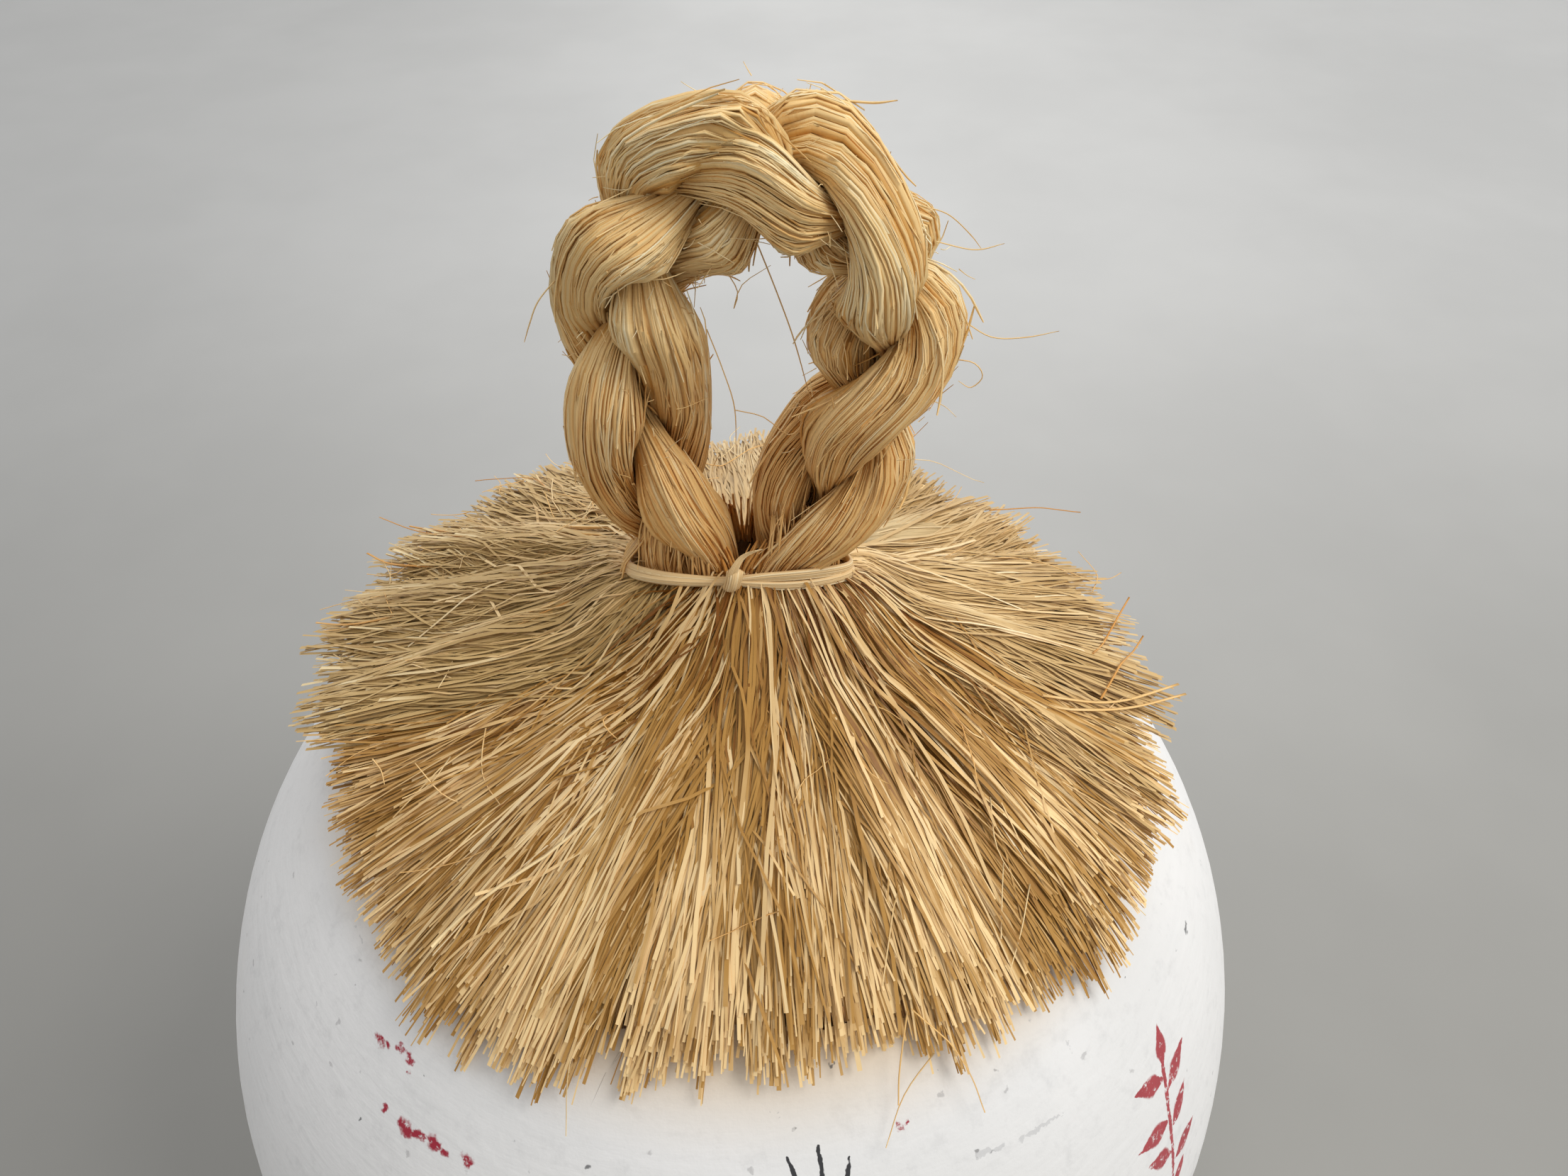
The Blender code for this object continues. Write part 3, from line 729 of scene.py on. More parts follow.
# Hemp finishes: dark, middle and light, painted shade of the deepest fibres, how much lighter the tips and
# darker the roots are painted, and the painted shade on the loop's legs
HEMP_FINISHES = {
    "hemp_gold": ((0.205, 0.070, 0.009), (0.465, 0.245, 0.061), (0.93, 0.67, 0.335), 0.84, 0.80, WHITE),
    "hemp_pale": ((0.44, 0.27, 0.093), (0.61, 0.41, 0.180), (0.80, 0.63, 0.36), 1.0, 0.05, WHITE),
    "hemp_khaki": ((0.43, 0.275, 0.100), (0.60, 0.405, 0.168), (0.85, 0.68, 0.39), 0.92, 0.45, WHITE),
    "hemp_straw": ((0.66, 0.43, 0.18), (0.82, 0.60, 0.31), (0.95, 0.80, 0.53), 0.95, 0.10, WHITE),
    "hemp_braid": ((0.70, 0.37, 0.100), (0.94, 0.68, 0.325), (1.0, 0.89, 0.60), 0.77, 0.0, LEGS_PAINTED_SHADE),
    "strand_combed": ((0.68, 0.36, 0.09), (0.90, 0.60, 0.25), (0.98, 0.77, 0.40), 0.74, 0.0, LEGS_PAINTED_SHADE),
    "hemp_ribbon": ((0.60, 0.38, 0.16), (0.80, 0.56, 0.28), (0.95, 0.79, 0.50), 0.95, 0.0, WHITE),
}


def build_materials():
    """All materials, by name."""
    groups = {
        "hemp_tones": hemp_tones_group(),
        "combed_streaks": combed_streaks_group(),
        "brush_stroke": brush_stroke_group(),
    }
    materials = {name: hemp_material(groups, name, *finish) for name, finish in HEMP_FINISHES.items()}
    materials["skirt_combed"] = combed_material(groups, "skirt_combed")
    materials["white_paint"] = paint_material(groups)
    return materials


# Ball


def ball_shell():
    """The ball's outside with its flat foot, spun from half its outline."""
    shape = bmesh.new()
    foot_angle = math.pi - math.asin(FOOT_RADIUS / BALL_RADIUS)
    angles = [foot_angle * i / BALL_RINGS for i in range(BALL_RINGS + 1)]
    points = [Vector((math.sin(a), 0.0, math.cos(a))) * BALL_RADIUS + BALL_CENTRE for a in angles]
    points += [Vector((FOOT_RADIUS * share, 0.0, 0.0)) for share in (0.6, 0.0)]
    corners = [shape.verts.new(point) for point in points]
    outline = [shape.edges.new(pair) for pair in zip(corners, corners[1:])]
    bmesh.ops.spin(
        shape, geom=corners + outline, cent=(0.0, 0.0, 0.0), axis=(0.0, 0.0, 1.0),
        angle=2.0 * math.pi, steps=BALL_SEGMENTS, use_merge=True,
    )
    bmesh.ops.remove_doubles(shape, verts=shape.verts, dist=0.02 * MM)
    bmesh.ops.recalc_face_normals(shape, faces=shape.faces)
    for corner in shape.verts:
        outward = corner.co - BALL_CENTRE
        lump = sum(noise.noise(outward * scale) * height for scale, height in LUMPS)
        away_from_foot = ease((corner.co.z - 0.5 * MM) / (4.0 * MM))
        corner.co += outward.normalized() * (lump - LUMPS_SINK) * float(away_from_foot)
    mesh = bpy.data.meshes.new("painted_ball")
    shape.to_mesh(mesh)
    shape.free()
    return mesh


def build_ball(material):
    """The hollow ball with its foot, and the slit cut through the foot."""
    ball = add_object("painted_ball", ball_shell())
    wall = ball.modifiers.new("Wall", "SOLIDIFY")
    wall.thickness = WALL
    wall.offset = -1.0
    cutters = slit_cutters()
    for cutter in cutters:
        cut = ball.modifiers.new(cutter.name, "BOOLEAN")
        cut.operation = "DIFFERENCE"
        cut.solver = "EXACT"
        cut.object = cutter
    ball.data = mesh_of(ball)
    ball.modifiers.clear()
    for cutter in cutters:
        bpy.data.objects.remove(cutter, do_unlink=True)
    ball.data.shade_smooth()
    ball.data.set_sharp_from_angle(angle=math.radians(35.0))
    finish_piece(ball, material, "painted_clay", "bell_body")


def slit_cutters():
    """The slit as a bar through the foot, and a round hole at each of its ends."""
    bar = bmesh.new()
    size = Matrix.Diagonal((SLIT_LENGTH, SLIT_WIDTH, BALL_CENTRE.z, 1.0))
    bmesh.ops.create_cube(bar, size=1.0, matrix=size)
    shapes = {"slit_bar": bar}
    for name, end in (("slit_hole_left", -SLIT_LENGTH / 2), ("slit_hole_right", SLIT_LENGTH / 2)):
        shapes[name] = bmesh.new()
        bmesh.ops.create_cone(
            shapes[name], cap_ends=True, segments=40, radius1=SLIT_END_RADIUS, radius2=SLIT_END_RADIUS,
            depth=BALL_CENTRE.z, matrix=Matrix.Translation((end, 0.0, 0.0)),
        )
    cutters = []
    for name, shape in shapes.items():
        mesh = bpy.data.meshes.new(name)
        shape.to_mesh(mesh)
        shape.free()
        cutters.append(add_object(name, mesh))
    return cutters


# Fibres


def fibre_section(name, sides, flatness):
    """The section that every fibre of a piece has, drawn for a half width of one metre."""
    outline = bpy.data.curves.new(name, "CURVE")
    outline.dimensions = "2D"
    spline = outline.splines.new("POLY")
    spline.points.add(sides - 1)
    for side in range(sides):
        angle = 2.0 * math.pi * (side + 0.5) / sides + math.pi / 2
        spline.points[side].co = (math.cos(angle), flatness * math.sin(angle), 0.0, 1.0)
    spline.use_cyclic_u = True
    return add_object(name, outline)


def fibre_mesh(name, routes, sides, flatness, twist="Z_UP", crisp=False):
    """One mesh of many fibres. A route is (points, half widths, tone, level).

    A crisp fibre keeps the long edges between its flat sides.
    """
    data = bpy.data.curves.new(name, "CURVE")
    data.dimensions = "3D"
    data.twist_mode = twist
    section = fibre_section(f"{name}_section", sides, flatness)
    data.bevel_mode = "OBJECT"
    data.bevel_object = section
    data.use_fill_caps = True
    for points, halves, _, _ in routes:
        spline = data.splines.new("POLY")
        spline.points.add(len(points) - 1)
        places = np.ones((len(points), 4), np.float32)
        places[:, :3] = points
        spline.points.foreach_set("co", places.ravel())
        spline.points.foreach_set("radius", np.asarray(halves, np.float32))
    guide = add_object(f"{name}_guide", data)
    mesh = mesh_of(guide)
    mesh.name = name
    mark_fibres(mesh, routes, sides)
    for used in (guide, section):
        bpy.data.objects.remove(used, do_unlink=True)
    weld = bmesh.new()
    weld.from_mesh(mesh)
    bmesh.ops.remove_doubles(weld, verts=weld.verts, dist=0.0000001)
    weld.to_mesh(mesh)
    weld.free()
    mesh.shade_smooth()
    if crisp:
        mesh.set_sharp_from_angle(angle=math.radians(50.0))
    return add_object(name, mesh)


def mark_fibres(mesh, routes, sides):
    """Gives each corner its fibre's tone and level, and how far along the fibre it is.

    The end caps come first, last fibre first, and then the sides in the fibres' order.
    """
    counts = np.array([len(route[0]) for route in routes])
    cap_along = np.tile(np.repeat([1.0, 0.0], sides), len(routes))
    side_along = np.concatenate([np.repeat(np.linspace(0.0, 1.0, count), sides) for count in counts])
    values = {"along": np.concatenate([cap_along, side_along])}
    for name, place in (("tone", 2), ("level", 3)):
        own = [np.broadcast_to(route[place], len(route[0])) for route in routes]
        ends = np.array([(numbers[-1], numbers[0]) for numbers in reversed(own)]).ravel()
        values[name] = np.concatenate([np.repeat(ends, sides), np.repeat(np.concatenate(own), sides)])
    for name, numbers in values.items():
        layer = mesh.attributes.new(name, "FLOAT", "POINT")
        layer.data.foreach_set("value", numbers.astype(np.float32))


def smooth_route(corners, steps):
    """A smooth line through a few points."""
    corners = np.asarray(corners, float)
    padded = np.vstack([2 * corners[0] - corners[1], corners, 2 * corners[-1] - corners[-2]])
    spans = len(corners) - 1
    line = []
    for step in range(steps):
        place = spans * step / (steps - 1)
        span = min(int(place), spans - 1)
        t = place - span
        a, b, c, d = padded[span:span + 4]
        bend = (2 * a - 5 * b + 4 * c - d) * t**2 + (3 * b - a - 3 * c + d) * t**3
        line.append(0.5 * (2 * b + (c - a) * t + bend))
    return np.array(line)


# Skirt

SKIRT_MIDDLE = np.array([HANDLE_OFFSET, 0.0])
GRID_HEADINGS = 240
GRID_SHARES = 40
GRID_EDGE = 0.985

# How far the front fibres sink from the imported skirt's underside on to the ball
FRONT_LAID = 0.85

# Where on the neck a fibre starts, in degrees round it, for a rim heading in degrees
RIM_DEGREES = (-235.0, -200.0, -180.0, -167.0, -150.0, -120.0, -90.0, -60.0, -30.0, 0.0, 60.0, 125.0)
NECK_DEGREES = (-235.0, -182.0, -154.0, -122.0, -101.0, -94.0, -84.0, -66.0, -36.0, 0.0, 50.0, 125.0)
PARTING_DEGREES = -167.0


def skirt_grid():
    """Rim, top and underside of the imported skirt, by heading and share of the way out."""
    tree = solid_tree("hemp_skirt")
    low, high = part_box("hemp_skirt")
    rims = np.zeros(GRID_HEADINGS)
    tops = np.zeros((GRID_HEADINGS, GRID_SHARES))
    unders = np.zeros((GRID_HEADINGS, GRID_SHARES))
    down = Vector((0.0, 0.0, -1.0))
    for i in range(GRID_HEADINGS):
        turn = 2.0 * math.pi * i / GRID_HEADINGS
        outward = np.array([math.cos(turn), math.sin(turn)])
        reach = BALL_RADIUS
        while tree.ray_cast(Vector((*(SKIRT_MIDDLE + outward * reach), high.z + MM)), down)[0] is None:
            reach -= 0.1 * MM
        rims[i] = reach
        for k in range(GRID_SHARES):
            x, y = SKIRT_MIDDLE + outward * reach * GRID_EDGE * k / (GRID_SHARES - 1)
            tops[i, k] = tree.ray_cast(Vector((x, y, high.z + MM)), down)[0].z
            unders[i, k] = tree.ray_cast(Vector((x, y, low.z - MM)), -down)[0].z
    return rims, tops, unders


def ring_place(turns, count):
    """The two of a ring's evenly spaced rows that a turn lies between, and the share of the second."""
    place = (turns / (2.0 * math.pi) % 1.0) * count
    first = place.astype(int) % count
    return first, (first + 1) % count, place - place.astype(int)


def grid_rim(rims, turns):
    """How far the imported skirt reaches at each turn."""
    first, second, share = ring_place(turns, GRID_HEADINGS)
    return rims[first] * (1.0 - share) + rims[second] * share


def grid_height(grid, plan, level):
    """Height in the skirt at points in plan, level 0 underneath and 1 on top."""
    rims, tops, unders = grid
    away = plan - SKIRT_MIDDLE
    reach = np.hypot(away[..., 0], away[..., 1])
    turns = np.arctan2(away[..., 1], away[..., 0])
    rim = grid_rim(rims, turns)
    share = np.clip(reach / rim / GRID_EDGE, 0.0, 1.0) * (GRID_SHARES - 1)
    ring = np.minimum(share.astype(int), GRID_SHARES - 2)
    blend = share - ring
    first, second, turn_blend = ring_place(turns, GRID_HEADINGS)

    def read(table):
        near = table[first, ring] * (1 - blend) + table[first, ring + 1] * blend
        far = table[second, ring] * (1 - blend) + table[second, ring + 1] * blend
        return near * (1 - turn_blend) + far * turn_blend

    under = read(unders)
    ball = BALL_CENTRE.z + np.sqrt(np.maximum(BALL_RADIUS**2 - (plan**2).sum(axis=-1), 0.0))
    degrees = np.degrees(turns)
    in_front = ease((degrees + 168.0) / 30.0) * ease((-15.0 - degrees) / 35.0)
    laid = np.maximum(under - ball - 0.10 * MM, 0.0) * in_front * FRONT_LAID
    thinner = 1.0 - 0.30 * in_front * ease((reach / rim - 0.55) / 0.45)
    fall = 0.42 * np.maximum(reach - rim * GRID_EDGE, 0.0)
    return under - laid + (read(tops) - under) * level * thinner - fall


def on_skirt(grid, plan, level=1.0):
    """Height in the skirt at one point in plan."""
    return float(grid_height(grid, np.asarray(plan)[None, :], level)[0])


def in_plan(turn, reach):
    """A point in plan, by its heading and reach from the skirt's middle."""
    return SKIRT_MIDDLE + reach * np.array([math.cos(turn), math.sin(turn)])


def neck_point(turns, fill=1.0, extra=0.0):
    """Points in plan inside the bound neck; fill 1 is its skin, and extra is how far outside that."""
    heading = np.arctan2(NECK_HALF_DEPTH * np.sin(turns), NECK_HALF_WIDTH * np.cos(turns))
    wide = np.abs(np.cos(heading)) / (NECK_HALF_WIDTH + extra)
    deep = np.abs(np.sin(heading)) / (NECK_HALF_DEPTH + extra)
    reach = fill * (wide**NECK_SQUARENESS + deep**NECK_SQUARENESS) ** (-1.0 / NECK_SQUARENESS)
    return SKIRT_MIDDLE + np.stack([reach * np.cos(heading), reach * np.sin(heading)], axis=-1)


# Sparse places near the rim where the ball shows through: (heading, half width) in degrees
THIN_PLACES = ((-105.5, 2.8), (-166.5, 2.2), (-65.0, 1.2), (-141.0, 0.8))

# The locks of the skirt, by rim heading in degrees: how much lighter or darker, how far their tops
# rise or sink in millimetres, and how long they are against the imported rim
LOCK_TABLE = (
    (-235.0, 0.01, 0.0, 1.000), (-215.0, 0.00, 0.1, 0.990), (-200.0, 0.04, 0.2, 1.000),
    (-185.0, 0.01, 0.3, 1.010), (-175.0, 0.04, 0.4, 1.000), (-168.0, 0.00, 0.1, 0.970),
    (-164.0, -0.10, -0.3, 0.930), (-157.0, -0.15, 0.1, 0.935), (-148.0, -0.15, 0.2, 0.931),
    (-139.0, -0.13, 0.0, 0.946), (-133.0, -0.03, -0.3, 0.965), (-128.0, 0.07, 0.3, 0.975),
    (-119.0, 0.10, 0.5, 0.985), (-111.0, 0.04, 0.1, 0.975), (-106.0, -0.14, -0.9, 0.955),
    (-101.0, 0.04, 0.0, 0.970), (-92.0, 0.03, 0.3, 0.972), (-84.0, -0.06, -0.1, 0.960),
    (-77.0, 0.04, 0.3, 0.945), (-70.0, -0.04, 0.0, 0.935), (-65.0, -0.11, -0.5, 0.946),
    (-60.0, -0.02, 0.0, 0.965), (-54.0, -0.01, 0.2, 0.965), (-47.0, -0.10, -0.4, 0.978),
    (-41.0, -0.06, 0.0, 1.020), (-34.0, -0.10, 0.0, 1.045), (-26.0, -0.06, 0.1, 1.045),
    (-15.0, -0.10, 0.2, 1.005), (-4.0, -0.08, 0.0, 0.985), (8.0, 0.10, 0.3, 0.980),
    (20.0, 0.05, 0.0, 0.970), (35.0, 0.10, 0.3, 0.960), (60.0, 0.07, 0.1, 0.970),
    (90.0, 0.03, 0.0, 0.970), (125.0, 0.01, 0.0, 1.000),
)
LOCK_DEGREES, LOCK_TONES, LOCK_RISES, LOCK_LENGTHS = zip(*LOCK_TABLE)
TUFTS_IN_LOCK = 5
LONGEST_SHARE = 1.06

# How thick the skirt's fibres are against their layer's own width, and how many are so
FIBRE_WIDTHS = (0.5, 0.75, 1.0, 1.25, 1.6)
FIBRE_WIDTH_SHARES = (0.25, 0.3, 0.25, 0.14, 0.06)


def tie_height(y):
    """Height of the middle of the tie, which rides up a little at the front."""
    in_front = ease(-y / TIE_RIDE_DEPTH)
    behind = ease(y / TIE_RIDE_DEPTH)
    return TIE_MIDDLE - TIE_DROP + TIE_FRONT_RISE * in_front - TIE_BACK_DROP * behind


@dataclass
class SkirtLayer:
    """One layer of the skirt's fibres.

    Its degrees are headings round the rim. Its levels run from the skirt's underside (0) to its
    top (1), and its length is a share of the way to the rim.
    """

    name: str
    finish: str
    seed: int
    count: int
    degrees: tuple
    levels: tuple
    steps: int
    half_width: float
    bow: float
    wave: float
    lift: float
    length: tuple
    tufts: int
    tone: float


def spread_headings(rng, layer):
    """Where the fibres reach the rim, with few of them at the thin places."""
    headings = rng.uniform(*layer.degrees, layer.count)
    for middle, half in THIN_PLACES:
        close = np.abs(headings - middle) < half * rng.uniform(0.5, 1.2, layer.count)
        leave = close & (rng.random(layer.count) < 0.85)
        headings = np.where(leave, middle + np.sign(headings - middle) * half * 1.3, headings)
    return headings


def gather_tufts(rng, layer, headings):
    """What each fibre shares with the tuft and the larger lock that it lies in."""
    own = SimpleNamespace()
    centres = np.sort(rng.uniform(*layer.degrees, layer.tufts))
    tuft = np.abs(headings[:, None] - centres[None, :]).argmin(axis=1)
    own.to_tuft = centres[tuft] - headings
    own.tuft_tone = rng.uniform(-1.0, 1.0, layer.tufts)[tuft]
    own.tuft_level = rng.uniform(0.0, 1.0, layer.tufts)[tuft]
    own.tuft_length = rng.normal(0.0, 0.013, layer.tufts)[tuft]
    own.tuft_bow = rng.normal(0.0, layer.bow * 0.7, layer.tufts)[tuft]
    own.gather = rng.uniform(0.0, 0.8, layer.count)
    lock_count = max(layer.tufts // TUFTS_IN_LOCK, 3)
    locks = np.sort(rng.uniform(*layer.degrees, lock_count))
    lock = np.abs(headings[:, None] - locks[None, :]).argmin(axis=1)
    own.to_lock = locks[lock] - headings
    own.lock_level = rng.uniform(-0.5, 0.5, lock_count)[lock]
    own.lock_tone = rng.uniform(-1.0, 1.0, lock_count)[lock]
    half_lock = 0.5 * (layer.degrees[1] - layer.degrees[0]) / lock_count
    own.edge = np.clip(np.abs(own.to_lock) / half_lock, 0.0, 1.0) ** 2
    return own


def fibre_levels(rng, layer, own):
    """How high each fibre lies in the skirt. The edges of a lock lie lower than its middle."""
    lowest, highest = layer.levels
    level = lowest + (highest - lowest) * (0.55 * rng.random(layer.count) + 0.45 * own.tuft_level)
    return level + (0.16 * own.lock_level - 0.14 * own.edge) * ease((level - 0.2) / 0.5)


def fan_ends(rng, grid, layer, headings, own, level):
    """In plan: each fibre's root in the neck, the point it heads for first, its tip and its way out."""
    tip_turns = np.radians(headings + own.to_tuft * own.gather * 0.35)
    neck_turns = np.radians(np.interp(headings, RIM_DEGREES, NECK_DEGREES))
    fill = np.clip(0.35 + 0.6 * level + rng.uniform(-0.1, 0.05, layer.count), 0.2, 0.98)
    root_turns = neck_turns + rng.normal(0.0, 0.10, layer.count)
    roots = neck_point(root_turns, fill * 0.96)
    lengths = rng.uniform(*layer.length, layer.count) + own.tuft_length
    share = lengths * np.interp(headings, LOCK_DEGREES, LOCK_LENGTHS)
    reach = grid_rim(grid[0], tip_turns) * np.minimum(share, LONGEST_SHARE)
    outward = np.stack([np.cos(tip_turns), np.sin(tip_turns)], axis=-1)
    tips = SKIRT_MIDDLE + outward * reach[:, None]
    sideways = 0.55 + 0.8 * np.maximum(np.cos(root_turns), 0.0)
    leaving = np.stack([np.cos(root_turns) * sideways, np.sin(root_turns)], axis=-1)
    leaving /= np.linalg.norm(leaving, axis=1)[:, None]
    shoulders = roots + leaving * (0.24 * np.linalg.norm(tips - roots, axis=1))[:, None]
    return roots, shoulders, tips, outward, reach


def fan_sway(rng, layer, own, along, reach):
    """How far each fibre strays to its side, point by point, and its wave up and down."""
    arch = np.sin(math.pi * along)[None, :]
    bows = np.clip(rng.standard_t(3, layer.count), -4.0, 4.0) * 0.75 * layer.bow + own.tuft_bow
    starts = rng.uniform(0.0, 2.0 * math.pi, (2, layer.count, 1))
    counts = rng.uniform(1.5, 3.4, (2, layer.count, 1))
    waves = np.sin(starts + 2.0 * math.pi * along[None, :] * counts)
    sway = bows[:, None] * arch + layer.wave * waves[0] * ease(along * 3.0)
    drawn = np.radians(own.to_tuft * 0.55 * own.gather + own.to_lock * 0.16) * reach
    sway = sway + drawn[:, None] * arch * along * 0.8
    splay = np.clip(rng.standard_t(3, layer.count), -4.0, 4.0) * 0.30 * MM
    return sway + splay[:, None] * np.maximum(along - 0.5, 0.0)[None, :] ** 2 * 4.0, waves[1]


def fan_heights(rng, grid, layer, level, rise, plan, along, waves):
    """Heights of the fibres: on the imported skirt, raised by their lock and each by itself."""
    upper = np.clip((level - 0.3) / 0.7, 0.0, 1.0)
    height = grid_height(grid, plan, level[:, None])
    height = height + (rise * upper)[:, None] * ease(along * 2.5) * (1.0 - 0.6 * along**3)
    raised = np.abs(rng.normal(0.0, layer.lift, layer.count)) * upper
    hump = rng.uniform(0.35, 1.0, layer.count)
    over_hump = np.minimum(along[None, :] / hump[:, None], 1.0) ** 0.8
    height = height + raised[:, None] * np.sin(math.pi * over_hump)
    height = height + layer.wave * 0.6 * waves * along[None, :]
    height = height + rng.normal(0.0, 0.22 * MM, layer.count)[:, None] * along[None, :] ** 3
    in_tie = tie_height(plan[:, 0, 1]) - TIE_MIDDLE + 0.1 * MM
    return height + in_tie[:, None] * (1.0 - ease(along * 4.0))[None, :] * upper[:, None]


def fan_tones(rng, layer, headings, own):
    """How light each fibre is, with the low edges of a lock painted darker as painted shade. Those behind
    differ less from each other.
    """
    spread = 0.09 if layer.degrees[1] > 0.0 else 0.14
    shift = np.interp(headings, LOCK_DEGREES, LOCK_TONES)
    shared = 0.47 + layer.tone + shift + 0.15 * own.tuft_tone + 0.10 * own.lock_tone - 0.12 * own.edge
    return np.clip(shared + rng.normal(0.0, spread, layer.count), 0.0, 1.0)


def fan_routes(grid, layer):
    """Fibres that run from inside the tie, over the shoulder and out to the ragged rim."""
    rng = np.random.default_rng(layer.seed)
    headings = spread_headings(rng, layer)
    own = gather_tufts(rng, layer, headings)
    level = fibre_levels(rng, layer, own)
    roots, shoulders, tips, outward, reach = fan_ends(rng, grid, layer, headings, own, level)
    along = np.linspace(0.0, 1.0, layer.steps)
    first_part = ((1 - along) ** 2)[None, :, None] * roots[:, None, :]
    second_part = (2 * along * (1 - along))[None, :, None] * shoulders[:, None, :]
    plan = first_part + second_part + (along**2)[None, :, None] * tips[:, None, :]
    side = np.stack([-outward[:, 1], outward[:, 0]], axis=-1)
    sway, waves = fan_sway(rng, layer, own, along, reach)
    plan = plan + side[:, None, :] * sway[:, :, None]
    rise = np.interp(headings, LOCK_DEGREES, LOCK_RISES) * MM
    height = fan_heights(rng, grid, layer, level, rise, plan, along, waves)
    halves = layer.half_width * rng.choice(FIBRE_WIDTHS, layer.count, p=FIBRE_WIDTH_SHARES)
    taper = np.interp(along, (0.0, 0.12, 0.6, 1.0), (0.5, 0.85, 1.0, 0.95))
    tones = fan_tones(rng, layer, headings, own)
    # Painted shade and light: fibres low in the skirt or in a low tuft are painted darker, those on a risen
    # lock lighter
    risen = rise * np.clip((level - 0.3) / 0.7, 0.0, 1.0) / MM
    shades = np.clip(0.3 + 0.7 * level + 0.25 * risen - 0.12 * (1 - own.tuft_level), 0.0, 1.0)
    points = np.concatenate([plan, height[:, :, None]], axis=2)
    return [(points[i], halves[i] * taper, tones[i], shades[i]) for i in range(layer.count)]


# The skirt's layers, from the bundle's inside to the loose straws on it
SKIRT_LAYERS = (
    SkirtLayer(
        "skirt_inner_fibres", "hemp_gold", seed=11, count=1300, degrees=(-235.0, 125.0), levels=(0.10, 0.80),
        steps=8, half_width=0.13 * MM, bow=0.3 * MM, wave=0.05 * MM, lift=0.0, length=(0.85, 0.98),
        tufts=110, tone=0.14),
    SkirtLayer(
        "skirt_front_left_fibres", "hemp_gold", seed=12, count=2300, degrees=(PARTING_DEGREES, -98.0),
        levels=(0.80, 1.08), steps=11, half_width=0.085 * MM, bow=0.5 * MM, wave=0.09 * MM, lift=0.20 * MM,
        length=(0.84, 1.025), tufts=40, tone=0.0),
    SkirtLayer(
        "skirt_front_right_fibres", "hemp_gold", seed=13, count=2400, degrees=(-102.0, -8.0),
        levels=(0.80, 1.08), steps=11, half_width=0.086 * MM, bow=0.5 * MM, wave=0.09 * MM, lift=0.20 * MM,
        length=(0.84, 1.025), tufts=62, tone=0.0),
    SkirtLayer(
        "skirt_back_fibres", "hemp_pale", seed=14, count=1800, degrees=(-26.0, 130.0), levels=(0.86, 1.05),
        steps=10, half_width=0.100 * MM, bow=0.5 * MM, wave=0.10 * MM, lift=0.14 * MM, length=(0.82, 1.03),
        tufts=60, tone=0.0),
    SkirtLayer(
        "skirt_left_bundle", "hemp_khaki", seed=15, count=1700, degrees=(-237.0, PARTING_DEGREES),
        levels=(0.90, 1.14), steps=12, half_width=0.100 * MM, bow=0.8 * MM, wave=0.20 * MM, lift=0.20 * MM,
        length=(0.80, 1.035), tufts=40, tone=0.02),
    SkirtLayer(
        "skirt_bright_straws", "hemp_straw", seed=16, count=300, degrees=(-163.0, 40.0), levels=(1.0, 1.12),
        steps=12, half_width=0.095 * MM, bow=0.45 * MM, wave=0.10 * MM, lift=0.28 * MM, length=(0.70, 1.01),
        tufts=260, tone=0.0),
    SkirtLayer(
        "skirt_crossing_fibres", "hemp_gold", seed=18, count=260, degrees=(-160.0, -20.0), levels=(1.0, 1.12),
        steps=12, half_width=0.075 * MM, bow=1.5 * MM, wave=0.22 * MM, lift=0.30 * MM, length=(0.62, 1.02),
        tufts=230, tone=0.04),
    SkirtLayer(
        "skirt_left_straws", "hemp_straw", seed=17, count=170, degrees=(-232.0, -172.0), levels=(1.02, 1.16),
        steps=14, half_width=0.080 * MM, bow=1.6 * MM, wave=0.30 * MM, lift=0.30 * MM, length=(0.60, 0.98),
        tufts=160, tone=-0.18),
)


def build_skirt(materials):
    """The skirt's core and its layers of fibres. Gives the grid that other pieces lie on."""
    grid = skirt_grid()
    build_skirt_core(grid, materials["skirt_combed"])
    for layer in SKIRT_LAYERS:
        bundle = fibre_mesh(layer.name, fan_routes(grid, layer), 3, 0.36, crisp=True)
        finish_piece(bundle, materials[layer.finish], "hemp_fibre", "hemp_skirt")
    return grid


